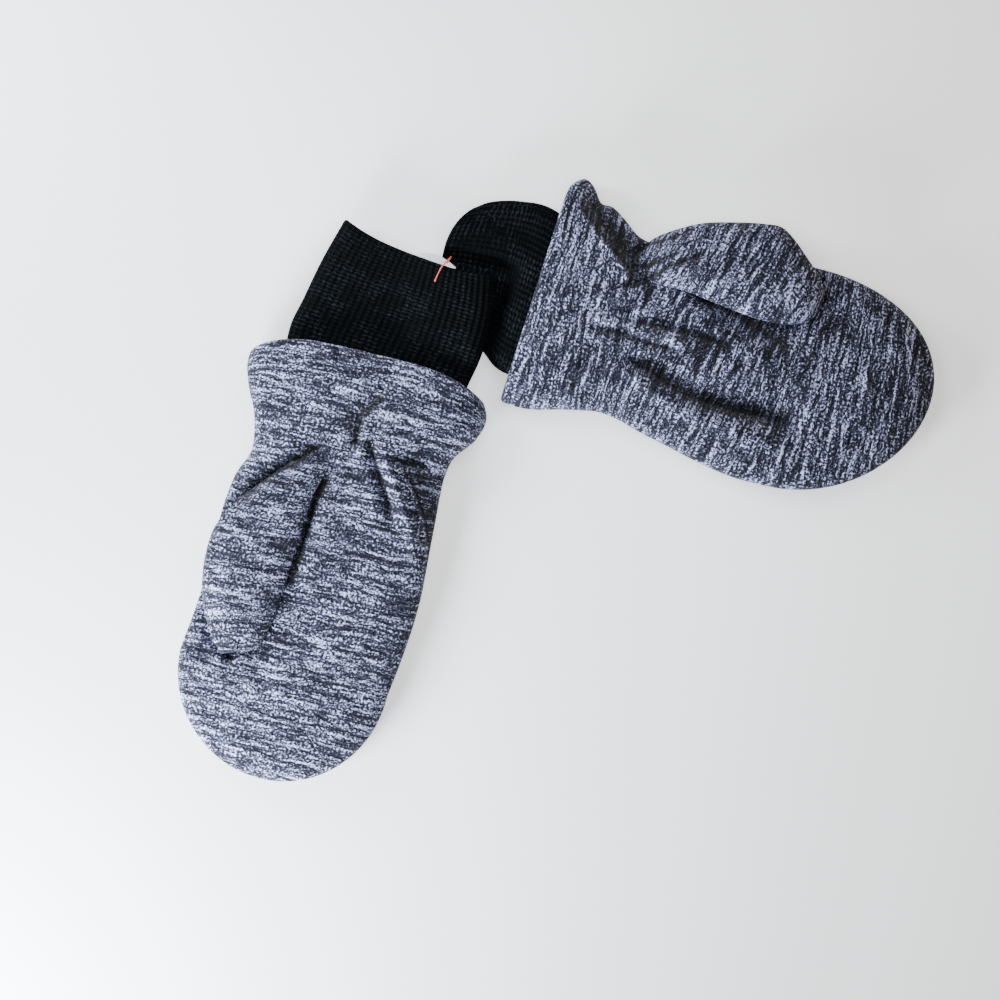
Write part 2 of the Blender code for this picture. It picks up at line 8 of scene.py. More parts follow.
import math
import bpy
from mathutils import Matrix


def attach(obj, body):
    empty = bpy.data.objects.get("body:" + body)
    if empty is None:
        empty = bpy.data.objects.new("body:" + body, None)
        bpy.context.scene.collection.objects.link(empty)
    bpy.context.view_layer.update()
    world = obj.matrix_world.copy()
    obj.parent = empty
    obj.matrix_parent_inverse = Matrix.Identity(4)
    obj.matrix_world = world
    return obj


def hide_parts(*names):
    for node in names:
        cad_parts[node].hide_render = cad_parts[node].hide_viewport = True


bl_info = {
    "name": "Laid Baby Mittens",
    "version": (1, 0, 0),
    "blender": (4, 5, 0),
    "location": "View3D > Sidebar > Mittens",
    "description": "Builds a pair of fleece mittens with knit cuffs, laid palm up",
    "category": "Object",
}

from collections import namedtuple
from types import SimpleNamespace

import bpy
import numpy as np
from bpy.props import FloatProperty, FloatVectorProperty, IntProperty, PointerProperty

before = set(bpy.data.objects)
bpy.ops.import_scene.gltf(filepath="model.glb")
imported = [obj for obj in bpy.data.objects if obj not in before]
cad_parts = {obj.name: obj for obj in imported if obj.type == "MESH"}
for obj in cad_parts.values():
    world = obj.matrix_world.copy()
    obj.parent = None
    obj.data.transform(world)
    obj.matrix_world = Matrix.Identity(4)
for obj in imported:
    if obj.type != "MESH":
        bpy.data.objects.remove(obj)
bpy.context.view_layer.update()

MM = 0.001
SEAM = 5.5  # height of the side seams over the surface the mittens lie on
THUMB_SEAM = 3.2  # height of a thumb's seams over its own underside
GAP = 0.3  # between two panels at a seam
LEAST_CROWN = 0.6  # height of a palm's middle over its seams where folds are deepest
FLAT_SHARE = 0.74  # share of a back panel's half-width that lies flat
CLOSE_ROWS = 27.0  # up to here a hand panel's rows are a point apart, and past it COARSE points
COARSE = 1.7

BED_GAP = 0.5  # between a palm and the thumb that lies on it
BED_FADE = 0.5  # a thumb's bed fades this much slower past its tip than beside it
BED_EDGE = (0.4, 8.0)  # how far from the thumb a plain bed's edge starts and ends
ROOT_RISE = 14.0  # length over which a thumb comes up out of its palm
OUTER_SINK = 0.9  # a thumb's outer half starts this far under the palm's face,
OUTER_EDGE_SINK = 3.3  # deeper by this at its far edge,
OUTER_LEAST = 4.0  # and no lower than this
INNER_SINK = 4.4  # the inner half starts this far under it, inside the hand space,
INNER_LEAST = 2.6  # and no lower than this
WAY_LENGTH = 14.0  # of the way from a hand space into its thumb
WAY_CLEAR = (2.5, 4.0, 6.0)  # between it and the thumb's near and far edges and the palm's edge

LABEL_MIDDLE = -12.3  # where the label hangs along its cuff's mouth, t of its middle
MOUTH_ROWS = 0.12  # part of a cuff's last row that is laid closely, up to the mouth
MOUTH_TURN = 0.09  # and the part in which its wall turns over
LABEL_DROP = 0.9  # from the upper wall of the cuff to the label's edges
YARN_CONTRAST = 120.0  # light yarn over dark yarn, in the marl's even steps of brightness
STAGE_HALF = 3.0  # half-width of the surface, in metres
STAGE_DROP = 0.0002  # how far it lies under the mittens, so that no two faces share a plane

# A hand across s, a thumb across s with its bed in the palm, a fold that is wider by lean and lies
# lower by drop on the side of +t and widens by grow along its path, and a cuff across its length.
Section = namedtuple("Section", "s thumb_edge far_edge crown fullness")
ThumbRow = namedtuple("ThumbRow", "s near far high bed")
Fold = namedtuple("Fold", "path width depth lean grow drop", defaults=(0.0, 0.0, 0.0))
Rung = namedtuple("Rung", "thumb_s thumb_t far_s far_t thumb_z far_z thumb_high far_high bow")


def table(kind, *rows):
    """Rows of one kind from their bare values."""
    return [kind(*row) for row in rows]


LEFT_ROOT = [  # the crease round mitten a's thumb root, in its palm and its thumb
    (-2.5, 7), (3, 12.1), (8.2, 15.8), (12.1, 21.2), (16.5, 25.2), (21, 28), (28.5, 32.2),
]
LEFT_POCKETS = (  # dents beside that crease
    [(12.5, 23.4), (15.5, 25.8), (19.6, 28.6)],
    [(19.8, 28.6), (23, 30.4), (27, 32.6)],
)
RIGHT_ROOT_FOLDS = [  # the folds that mitten b's palm and thumb share at the thumb's root
    Fold([(-9.2, 21), (-5.2, 23), (-1.1, 27.5), (4.5, 30.5), (12.9, 36)], 1.3, 4),
    Fold([(-9.6, 17), (-4.6, 19), (-1.3, 20.4), (2.2, 22.1), (6.5, 25.6),
          (14, 30.4)], 1.2, 3.6),
    Fold([(-9.4, 11.4), (-4.4, 13.4), (1.3, 17.3), (5.3, 20.2), (9.3, 23.9), (13.3, 26.4),
          (20.2, 30.6)], 1.4, 4.4),
]

LEFT = SimpleNamespace(
    name="a",
    wrist=(-65.58, 9.27),
    turn=-103.5,
    side=-1,
    sections=table(
        Section,
        (-26, 38.3, 37, 18, 3), (-20, 38.8, 39.8, 18, 3), (-12, 36.5, 37.8, 17.4, 3),
        (-5, 33.2, 32.6, 16.6, 2.9), (1, 31.6, 31.2, 15.8, 2.8), (8, 31, 31.2, 15.4, 2.9),
        (15, 33.8, 31.6, 15, 3), (24, 35.4, 32, 14.8, 3.1), (43, 35.6, 32.8, 14.2, 3.1),
        (60, 36.6, 31.6, 13.6, 2.9), (74, 38.3, 29.7, 13.2, 2.7),
    ),
    tip_length=35.0,
    tip_centre=3.6,
    rim=-31.5,
    rim_bow=6.0,
    rim_slant=0.0,
    corner=1.0,
    gathers=7.3,
    seed=16,
    palm_folds=[
        # down the flare from the rim to the wrist
        Fold([(-21, -8.2), (-16.1, -4.4), (-12.7, -2.6), (-10.7, -1.2), (-6.4, -1), (-2.1, -1.1),
              (1.5, -1.7)], 2.5, 4.4, 0.5),
        Fold([(-22.7, 11.2), (-12.7, 9.1)], 1.8, 0.8),
        # round the root of the thumb and along its near edge
        Fold(LEFT_ROOT, 2.2, 4.6, 0.4),
        *(Fold(pocket, 1.5, 2.4) for pocket in LEFT_POCKETS),
        Fold([(3.6, 3.6), (6.5, 4), (9.6, 4.8), (13, 6.2), (16, 7.4), (24, 7.6), (34, 8),
              (50, 8.8)], 2.1, 3.2),
        # from the wrist across the palm, with the ridge beside it
        Fold([(-7.4, -2.4), (-5.4, -3.6), (-1.4, -6.3), (3.2, -9.3), (8.7, -12.3), (13.8, -15.7),
              (21, -18.4)], 1.6, 3.4),
        Fold([(-1.5, -9.6), (2.4, -13.2), (8.7, -17.5), (13.8, -21), (21, -25.4),
              (32, -28.6)], 2.4, -2.4),
        # along the far edge, where the cloth drops, and short creases near it
        Fold([(40, -33.6), (24.1, -31.4), (16.3, -28.2), (8.7, -23.5), (5.1, -20.4), (1, -16.4),
              (-3.6, -12.8)], 1.4, 3.4, 0.6, 0, 3.4),
        Fold([(3, -15), (0.4, -17.2), (-0.8, -19), (-1, -21.5), (1.6, -28)], 1.2, 2.6),
        Fold([(1.6, -20), (4.7, -24.4)], 1.8, -1),
        # shallow dents and ridges, and the rim
        Fold([(-3.8, 6.6), (0.7, 9.1), (4.4, 11.1)], 1.5, 1.3),
        Fold([(3.5, 3.5), (12, 2.6), (22, 3)], 2, -0.8),
        Fold([(-13.6, -30), (-19, -36.5)], 1.8, 0.9),
        Fold([(-22.9, 7.6), (-23.8, 2.4), (-21.5, -6), (-22.5, -15.3)], 0.8, 0.6),
        Fold([(-34, 11.3), (-26, 10.6)], 1, 1.5),
    ],
    bank=[(0, 0.4, 4), (12, 0.4, 3.4), (34, 0.2, 3), (46, -2.6, 0.8), (72, -2.6, 1.6)],
    tip_bank=2.0,
    thumb_rows=table(
        ThumbRow,
        (2.5, 6.2, 12, 4.6, 13.4), (6, 5.6, 15.6, 6.6, 12.4), (11, 6.6, 20.4, 8, 11.4),
        (17, 8.2, 25.6, 8.8, 10.8), (25, 8.9, 32.2, 9.2, 10.4), (34, 9.6, 36.5, 9.4, 10.4),
        (43, 10, 37.3, 9.4, 10.4), (52, 10.4, 36.2, 9.2, 10.4), (60, 11.3, 33.2, 8.8, 10.4),
        (66, 12.6, 29.6, 8, 10.5), (69.8, 14.2, 26.6, 7.2, 10.5), (71.2, 15.6, 25, 6.8, 10.6),
    ),
    thumb_skew=1.6,
    thumb_turn=-2.0,
    slopes=[(0, 1.9), (14, 1.75), (48, 1.6), (72, 1.6)],
    thumb_folds=[
        Fold(LEFT_ROOT, 1.9, 3.6, 0.4),
        *(Fold(pocket, 1.4, 1.8) for pocket in LEFT_POCKETS),
        Fold([(64.5, 13), (67.6, 20), (66.6, 28)], 1.1, 0.9),
    ],
    cuff=table(
        Rung,
        (-5, 23.6, -5, -24.2, 2.9, 2.9, 8.5, 8.5, 0), (-18, 27, -17, -29.4, 3.2, 3.2, 9, 9, 0),
        (-33, 28.2, -29, -31.7, 3.8, 3.9, 9.2, 9, 0), (-44, 26, -39, -33.6, 3.2, 6.7, 9.4, 8.4, 0),
        (-57, 23.2, -52, -34, 2.9, 6.8, 9.4, 8.2, 1),
        (-71.6, 19, -65.2, -32, 2.8, 6.6, 9.2, 8, 3.3),
    ),
    cuff_step=(0.0, -13.0),
    cuff_folds=[Fold([(-62, -14.5), (-48, -9), (-33, -5)], 3.6, 0.9)],
    chart_start=(400.0, 300.0),
    row_slopes=[(-30, 0), (80, 0)],
)

RIGHT = SimpleNamespace(
    name="b",
    wrist=(23.42, 47.37),
    turn=-13.0,
    side=1,
    sections=table(
        Section,
        (-34, 43.4, 31.4, 18, 3), (-27, 44.2, 31.8, 18, 3), (-23, 43.7, 31.2, 18, 3),
        (-20.5, 41.4, 30.6, 17.9, 3), (-18.4, 38.3, 30.1, 17.8, 3), (-14, 37.4, 29.1, 17.5, 3),
        (-9.3, 34.4, 28.3, 17, 2.9), (-4, 30.3, 27.5, 16.4, 2.9), (2, 28.9, 28.3, 15.8, 2.8),
        (10, 30.2, 30.7, 15.4, 2.9), (20, 32.4, 33.2, 15, 3.1), (30, 33.9, 35.8, 14.6, 3.2),
        (43, 34, 38.2, 14, 3.1), (54, 33.1, 38.5, 13.4, 2.8),
    ),
    tip_length=45.2,
    tip_centre=1.2,
    rim=-32.2,
    rim_bow=0.0,
    rim_slant=3.0,
    corner=3.2,
    gathers=6.6,
    seed=17,
    palm_folds=[
        # down the flare's thumb side, the cloth lower beyond it
        Fold([(-28, 38.5), (-20.3, 31.6), (-15.3, 27.3), (-9.6, 23.1), (-4.6, 18.7),
              (-1.6, 10.6)], 2, 5.2, 0.75, 0, 5),
        *RIGHT_ROOT_FOLDS,
        # from the wrist along the middle of the palm
        Fold([(-3.8, 3.2), (2.2, 3), (9.3, 3.4), (20.2, 3.2), (29.9, 2.5), (36, 1.6)], 1.4, 3.6),
        Fold([(-13.4, -1.4), (-9.1, -1.9), (-2.6, -1.7), (5.8, -2.7), (12.8, -2.9),
              (20, -5)], 1.4, 3.2),
        Fold([(-12.8, 5.6), (-4, 5.2), (0.8, 5.2)], 1.1, 1),
        Fold([(-19.8, 5.5), (-11.5, 3.5)], 3.2, 0.9),
        Fold([(-16.4, -14.3), (-8.2, -10.8), (-3.7, -7.3), (0.2, -7.8)], 1.2, 1.1),
        # the long deep crease at the far side, and what runs into it
        Fold([(-3.8, -7.4), (1.1, -9.1), (8.3, -11), (15.5, -13.6), (22.6, -15.9), (29.4, -17),
              (38, -17.4), (46.8, -17.2), (64, -19)], 2, 8.6, 0.3, 1.7),
        Fold([(-16.2, -19.8), (-10.7, -16.9), (-2.4, -11.7), (2.7, -13), (10.5, -17.8)], 1.5, -1),
        Fold([(2.9, -14.7), (7.7, -20.2)], 1.4, 1.5),
        Fold([(-15.8, -21.7), (-8.8, -17.9), (-2, -13.4)], 1.2, 0.9),
        # beside the near edge of the thumb, then low ridges and the rim
        Fold([(15, 15.6), (25, 14.2), (33, 12.6), (40, 10.4), (46, 8), (54, 4)], 2.2, 3.2, 0, 0.9),
        Fold([(0, 0.6), (10, 0.2), (20, -0.6)], 1.6, -0.8),
        Fold([(1.5, -5.8), (9, -7.8)], 1.8, -0.8),
        Fold([(-36, 20.3), (-27, 20.6)], 1.1, 1.3),
    ],
    bank=[(-3, -3, 1), (14, -3, 1), (22, 0, 4), (32, 0.4, 10), (57, 0.4, 10)],
    tip_bank=8.0,
    thumb_rows=table(
        ThumbRow,
        (-3, 18.2, 24.4, 4.6, 14), (0, 17.2, 29.4, 6.4, 13), (5, 16.3, 33.4, 8, 11.6),
        (14.5, 16.1, 38.4, 9, 10.8), (25, 14.5, 41.2, 9.4, 10.4), (34, 13.2, 42.8, 9.4, 10.4),
        (40, 12.6, 43, 9.2, 10.4), (45.4, 12.7, 39.6, 9, 10.4), (50.4, 13.6, 35, 8.4, 10.4),
        (55, 16, 30.6, 7.6, 10.5), (57.6, 19, 26.8, 6.8, 10.6),
    ),
    thumb_skew=0.0,
    thumb_turn=-17.0,
    slopes=[(-3, 2.2), (30, 2.1), (57, 2.1)],
    thumb_folds=[
        *RIGHT_ROOT_FOLDS,
        Fold([(20, 24), (32, 30), (40, 38)], 3, 0.6),
    ],
    cuff=table(
        Rung,
        (-5, 17.6, -5, -21.5, 2.9, 2.9, 8.4, 8.4, 0), (-18, 25.5, -18, -23.2, 3.2, 3.2, 9, 8.8, 0),
        (-32.5, 32.4, -36.5, -22, 3.8, 3.9, 9.2, 8.4, 0),
        (-43, 32.6, -44.5, -16.8, 3, 0.2, 9.4, 6.1, 0),
        (-52, 30.4, -51.5, -13.5, 2.9, 0, 9.4, 6, -3),
        (-57.5, 27, -57.5, -11.5, 2.8, 0, 9.2, 5.8, -6.2),
    ),
    cuff_step=(14.5, 8.5),
    cuff_folds=[Fold([(-60, 22), (-50, 24), (-34, 22)], 3, 0.8)],
    chart_start=(1700.0, 900.0),
    row_slopes=[(-30, 0), (-8, 0.02), (8, 0.2), (24, 0.24), (45, 0.15), (70, -0.02), (95, -0.1)],
)

PAIR = (LEFT, RIGHT)

THREAD_PATH = [
    (-65.0, -16.0, 13.6), (-67.3, -16.8, 13.4), (-66.6, -16.4, 14.6), (-64.0, -14.9, 15.3),
    (-62.2, -14.3, 15.2), (-60.1, -13.9, 15.3), (-58.4, -13.6, 15.2),
]

LAMP_AIM = (-0.02, 0.0, 0.0)  # the point that every lamp is turned to
LAMPS = (  # name, place, diameter, its power's setting, colour
    ("side_light", (-0.25, -0.22, 0.11), 0.16, "key", (0.86, 0.92, 1.0)),
    ("top_light", (-0.24, 0.17, 0.15), 0.12, "top", (0.88, 0.93, 1.0)),
    ("overhead_light", (0.0, 0.08, 0.18), 0.14, "over", (0.88, 0.93, 1.0)),
    ("warm_fill", (0.42, 0.27, 0.20), 0.20, "fill", (1.0, 0.82, 0.5)),
)


# ---- Sizes and colours that a user would change ----


def metres(name, description, default):
    """A length that a user can set."""
    return FloatProperty(name=name, description=description, default=default, unit="LENGTH")


def watts(name, description, default):
    """A lamp's power that a user can set."""
    return FloatProperty(name=name, description=description, default=default, unit="POWER")


def tint(name, description, default):
    """A colour that a user can set."""
    return FloatVectorProperty(
        name=name, description=description, default=default, subtype="COLOR"
    )


class FleeceSettings(bpy.types.PropertyGroup):
    """The marled fleece of the panels and thumbs."""

    wall: metres("Wall", "Thickness of a panel", 0.0024)
    hem: metres("Hem", "Thickness of the turned hem", 0.0033)
    hem_width: metres("Hem width", "Width of the turned hem", 0.007)
    thumb_wall: metres("Thumb wall", "Thickness of a thumb's cloth", 0.0017)
    dark_yarn: tint("Dark yarn", "Darkest yarn", (0.0045, 0.0043, 0.0105))
    light_yarn: tint("Light yarn", "Lightest yarn", (0.61, 0.65, 1.0))
    # painted shade: the colour the yarn is blended towards in deep creases and on the lower strips
    # beside drops
    painted_fold_shade: tint("Shade", "Pile in a closed fold", (0.010, 0.0085, 0.006))
    course: metres("Course", "Distance between two rows of stitches", 0.0016)
    streak: metres("Streak", "Length of a stretch of one colour along a row", 0.014)
    point: metres("Point", "Distance between the surface's points", 0.0005)


class CuffSettings(bpy.types.PropertyGroup):
    """The rib-knit cuffs."""

    ribs: IntProperty(name="Ribs", description="Ribs round a cuff", default=60, min=20, max=120)
    rib_depth: metres("Rib depth", "Height of a rib over its groove", 0.0005)
    wall: metres("Wall", "From a cuff's inside to the top of a rib", 0.0016)
    yarn: tint("Yarn", "Black yarn", (0.0016, 0.0022, 0.0026))
    # painted highlight: the colour given to the lit loops of the cuffs
    glint: tint("Glint", "Lit loops of the yarn", (0.014, 0.018, 0.023))


class LabelSettings(bpy.types.PropertyGroup):
    """The satin label and the tacking thread left in it."""

    width: metres("Width", "Along the cuff's mouth", 0.0134)
    length: metres("Length", "Into the cuff", 0.0100)
    thick: metres("Thickness", "Thickness of the strip", 0.0005)
    satin: tint("Satin", "Colour of the label", (0.72, 0.73, 0.75))
    thread_thick: metres("Thread thickness", "Thickness of the thread", 0.00042)
    thread: tint("Thread", "Colour of the tacking thread", (0.78, 0.11, 0.08))


class StageSettings(bpy.types.PropertyGroup):
    """The surface, the lights and the camera."""

    view_width: metres("View width", "Width of the view on the surface", 0.32)
    view_centre: FloatVectorProperty(
        name="View centre", description="Middle of the view",
        size=2, unit="LENGTH", default=(-0.01792, -0.00672),
    )
    height: metres("Camera height", "Camera over the surface", 2.4)
    key: watts("Key light", "Power of the low side light", 4.9)
    top: watts("Top light", "Power of the light past the wrists", 1.2)
    over: watts("Overhead light", "Power of the light from above", 0.32)
    fill: watts("Fill light", "Power of the warm fill", 0.5)
    sky: FloatProperty(name="Sky", description="Strength of the light all round", default=0.03)
    glow: FloatProperty(name="Glow", description="Light up through the surface", default=1.0)
    surface: tint("Surface", "Colour of the surface", (0.86, 0.86, 0.86))


# ---- Curves and shapes ----


def ease(start, end, value):
    """0 before start, 1 after end, and 3x^2 - 2x^3 of the share x between them."""
    share = np.clip((value - start) / (end - start), 0.0, 1.0)
    return share * share * (3.0 - 2.0 * share)


def through(value, knots, heights):
    """A smooth curve through a table: cubic pieces whose slopes come from the neighbouring rows."""
    knots, heights = np.asarray(knots, float), np.asarray(heights, float)
    slopes = np.gradient(heights, knots)
    value = np.clip(value, knots[0], knots[-1])
    row = np.clip(np.searchsorted(knots, value, side="right") - 1, 0, len(knots) - 2)
    step = knots[row + 1] - knots[row]
    u = (value - knots[row]) / step
    return (
        (1 + 2 * u) * (1 - u) ** 2 * heights[row]
        + u * (1 - u) ** 2 * step * slopes[row]
        + u * u * (3 - 2 * u) * heights[row + 1]
        + u * u * (u - 1) * step * slopes[row + 1]
    )


def by_s(rows, name, s):
    """One column of a table of rows, at any s."""
    return through(s, [row.s for row in rows], [getattr(row, name) for row in rows])


def by_row(rows, names, q):
    """Some columns of a table of rows, at any q, which counts the rows from 0."""
    count = np.arange(len(rows))
    return [through(q, count, [getattr(row, name) for row in rows]) for name in names]


def beside_folds(folds, s, t, plain):
    """For each fold: its fading over the first and last 0.2 of its path, its width, the distance
    from its path in widths and in millimetres, and that distance with a sign, + on the side of +t.
    Width grows along the path and is (1 + lean) times as much on that side."""
    shape = np.broadcast(s, t).shape
    for fold in folds:
        path = np.asarray(fold.path, float)
        runs = np.diff(path, axis=0)
        lengths = np.hypot(runs[:, 0], runs[:, 1])
        done = np.concatenate([[0.0], np.cumsum(lengths)[:-1]])
        nearest = np.full(shape, np.inf)
        along, left = np.zeros(shape), np.zeros(shape)
        for start, run, length, before in zip(path[:-1], runs, lengths, done):
            share = ((s - start[0]) * run[0] + (t - start[1]) * run[1]) / length**2
            share = np.clip(share, 0.0, 1.0)
            away = np.hypot(s - start[0] - share * run[0], t - start[1] - share * run[1])
            closer = away < nearest
            along = np.where(closer, (before + share * length) / lengths.sum(), along)
            aside = (run[0] * (t - start[1]) - run[1] * (s - start[0])) / length
            left = np.where(closer, aside, left)
            nearest = np.minimum(nearest, away)
        fading = ease(0.0, 0.2, along) * ease(1.0, 0.8, along)
        width = fold.width * (1 + fold.grow * along) + (2.5 if plain else 0.0)
        near = nearest / (width * (1 + fold.lean * np.clip(left, -1.0, 1.0)))
        yield fold, fading, width, near, nearest, left


def relief(folds, s, t, plain=False):
    """Height that folds add, d being the distance from a fold's path in widths: a shallow one is a
    soft trough -depth * exp(-d^1.6), and one deeper than it is wide is a crease, where two round
    lips meet: -depth * (1 - sqrt(1 - (1 - d / 2.4)^2)), blunt over 0.35 mm. Both swell a little at
    d = 2.3. On the side of +t the cloth can also lie lower, by the drop. On a wall's plain inside
    the trough is soft and wider, with no swelling."""
    total = np.zeros(np.broadcast(s, t).shape)
    for fold, fading, width, near, nearest, left in beside_folds(folds, s, t, plain):
        trough = np.exp(-(near**1.6))
        if not plain:
            lip = 1 - np.clip(np.hypot(near, 0.35 / width) / 2.4, 0.0, 1.0)
            creased = float(ease(0.6, 1.3, fold.depth / fold.width))
            trough += (1 - np.sqrt(1 - lip * lip) - trough) * creased
            trough -= 0.22 * np.exp(-(((near - 2.3) / 1.2) ** 2))
        total -= fold.depth * fading * trough
        total -= fold.drop * fading * ease(0.0, 3.5, left) * ease(14.0, 7.0, nearest)
    return total


def painted_fold_shade_mask(folds, s, t):
    """How closed the cloth is, 0 to 1, as the mask of painted shade: beside each deep crease
    0.72 * exp(-(d / 0.55)^2) + 0.28 * exp(-(d / 1.4)^2), and a painted shadow over the part that
    lies lower beside it. A lip over a lower part gets no painted shade up to its edge, so it looks
    lit."""
    total = np.zeros(np.broadcast(s, t).shape)
    for fold, fading, width, near, nearest, left in beside_folds(folds, s, t, False):
        # beside a drop, the painted shade reaches only a little way onto the lip's side
        reach = np.where(left < 0.0, 0.4, 1.0) if fold.drop else 1.0
        closed = 0.72 * np.exp(-((near / (0.55 * reach)) ** 2))
        closed = closed + 0.28 * np.exp(-((near / (1.4 * reach)) ** 2))
        closed *= ease(1.0, 3.2, fold.depth)
        # painted shadow over the strip that lies lower beside a drop
        lower = 0.18 * fold.drop * ease(-0.1, 0.5, left) * ease(9.0, 4.0, nearest)
        total = np.maximum(total, fading * np.maximum(closed, lower))
    return total


def crumple(mitten, s, t):
    """Slack of soft cloth, +-1: four sine waves whose crests run across the hand, 5 to 8 mm apart,
    each bent by two along t and coming and going with a product of two more."""
    phases = np.random.default_rng(mitten.seed).uniform(0.0, 2 * math.pi, (4, 4))
    total = 0.0
    for step, (a, b, c, d) in zip((7.9, 6.3, 5.6, 4.9), phases):
        bent = s + 0.9 * np.sin(t / 5.3 + a) + 0.5 * np.sin(t / 2.9 + b)
        here = ease(0.2, 1.0, np.sin(t / 4.1 + s / 9.0 + c) * np.sin(s / 6.0 - t / 7.0 + d) + 0.4)
        total = total + 0.5 * here * np.sin(2 * np.pi * bent / step + a + d)
    return total


def gathers(mitten, s, t):
    """Soft ridges drawn up across the wrist: |sin| of t with an uneven phase, fading both ways as
    exp(-(s / reach)^2)."""
    phase = math.pi * (t + 1.4 * np.sin(t * 0.23 + 0.8)) / mitten.gathers
    reach = 9.0 + 3.0 * np.cos(t * 0.31 + 1.0)
    fading = np.exp(-((s / np.where(s > 0, reach, 1.25 * reach)) ** 2))
    return fading * (np.abs(np.sin(phase)) - 0.62)


def body_place(mitten, r, theta, v, inset):
    """(s, t, u) of a hand panel's points, v being -1 to 1 across it. Up to the last section the
    edges come from the table; after it the outline is half an ellipse, theta round it, and
    u = sin(theta). Towards the rim s gains bow * v^4 + slant * v, and at the thumb's side
    corner * v^24, while the table is read as far on, which rounds the rim's corner."""
    last = mitten.sections[-1]
    drawn = ease(-8.0, mitten.rim, r)
    bow, slant, corner = mitten.rim_bow * drawn, mitten.rim_slant * drawn, mitten.corner * drawn
    thumb_edge = by_s(mitten.sections, "thumb_edge", r + bow + slant + corner)
    far_edge = by_s(mitten.sections, "far_edge", r + bow - slant)
    u = np.sin(theta)
    centre = (thumb_edge - far_edge) / 2
    centre = centre + (mitten.tip_centre - (last.thumb_edge - last.far_edge) / 2) * u * u
    half = ((thumb_edge + far_edge) / 2 - inset) * np.cos(theta)
    s = r + (mitten.tip_length - inset) * u + bow * v**4 + slant * v
    return s + corner * np.maximum(v, 0.0) ** 24, centre + half * v, u


def distance_out(u, v):
    """sqrt(u^2 + v^2 (1 - u^2)): 0 on a hand's middle line, 1 on its outline."""
    return np.sqrt(np.clip(u * u + v * v * (1 - u * u), 0.0, 1.0))


def dome(out, fullness):
    """(1 - out^n)^(1/n), a crown that is rounder or squarer with n."""
    return (1 - np.clip(out, 0.0, 1.0) ** fullness) ** (1 / fullness)


def rising(out):
    """0 on the flat part of an underside, then a quarter round up to 1 on the outline."""
    share = np.clip((out - FLAT_SHARE) / (1 - FLAT_SHARE), 0.0, 1.0)
    return 1 - np.sqrt(1 - share * share)


def crown(mitten, s, t, plain, flat=False, bare=False, banked=False):
    """Height of a palm's middle over its seams, with its folds and gathers, and never less than
    LEAST_CROWN. Under the thumb it sinks into a bed, from just past the root, where a bare crown
    stays as it is. A plain bed's edge rises as BED_EDGE says. A banked crown's rises beside the
    thumb's near edge as the mitten's bank says, and closely round its tip."""
    start, end = BED_EDGE
    rows = mitten.thumb_rows
    high = by_s(mitten.sections, "crown", s)
    near, far = by_s(rows, "near", s) - t, t - by_s(rows, "far", s)
    beside = np.maximum(near, far)
    beyond = np.maximum(BED_FADE * (s - rows[-1].s), rows[0].s - s)
    outside = np.hypot(np.maximum(beside, 0.0), np.maximum(beyond, 0.0))
    away = np.where(outside > 0, outside, np.maximum(beside, beyond))
    place, low, wide = zip(*mitten.bank)
    by_near = ease(-4.0, 4.0, near - far) * float(banked)
    by_tip = ease(-1.0, 5.0, s - rows[-1].s + 3.0) * ease(4.0, -2.0, far - 2.0)
    by_tip = by_tip * float(banked) * (1 - by_near)
    low = start + (through(s, place, low) - start) * by_near
    wide = end + (through(s, place, wide) - end) * by_near + (mitten.tip_bank - end) * by_tip
    bed = (1 - ease(low, wide, away)) * ease(rows[0].s + 1.0, rows[0].s + 11.0, s) * float(not bare)
    high = high + (by_s(rows, "bed", s) - high) * bed
    if not flat:
        high = high + relief(mitten.palm_folds, s, t, plain)
        if not plain:
            high = high + 0.7 * gathers(mitten, s, t) * (1 - bed) + 0.26 * crumple(mitten, s, t)
    return np.maximum(high - SEAM, LEAST_CROWN)


def palm_top(mitten, s, t, bare=False):
    """Height of a palm's outer face over any place on it, for the thumb that lies there. A thumb
    that reaches past the palm keeps the height from 3 mm inside its edge."""
    last = mitten.sections[-1]
    u = np.clip((s - last.s) / mitten.tip_length, 0.0, 0.999)
    _, middle, _ = body_place(mitten, np.minimum(s, last.s), np.arcsin(u), 0.0, 0.0)
    _, edge, _ = body_place(mitten, np.minimum(s, last.s), np.arcsin(u), 1.0, 0.0)
    t = np.minimum(t, edge - 3.0)
    out = distance_out(u, (t - middle) / (edge - middle))
    full = by_s(mitten.sections, "fullness", s)
    return SEAM + GAP / 2 + crown(mitten, s, t, False, flat=not bare, bare=bare) * dome(out, full)


def stations(mitten, point):
    """Rows of a hand panel as (r, theta): closely round the hem's turned edge, then a point apart,
    then COARSE points apart up to the last section and round the fingertips."""
    last = mitten.sections[-1].s
    coarse = COARSE * point
    edge = mitten.rim + 1.7 * (1 - np.cos(np.linspace(0.0, math.pi / 2, 9)))
    close = np.linspace(edge[-1], CLOSE_ROWS, int((CLOSE_ROWS - edge[-1]) / point) + 1)[1:-1]
    wide = np.linspace(CLOSE_ROWS, last, int((last - CLOSE_ROWS) / coarse) + 1, endpoint=False)
    straight = np.concatenate([edge, close, wide])
    turn = np.radians(np.linspace(0.0, 89.6, int(mitten.tip_length * 1.3 / coarse) + 1))
    r = np.concatenate([straight, np.full(len(turn), last)])
    theta = np.concatenate([np.zeros(len(straight)), turn])
    return r[:, None], theta[:, None]


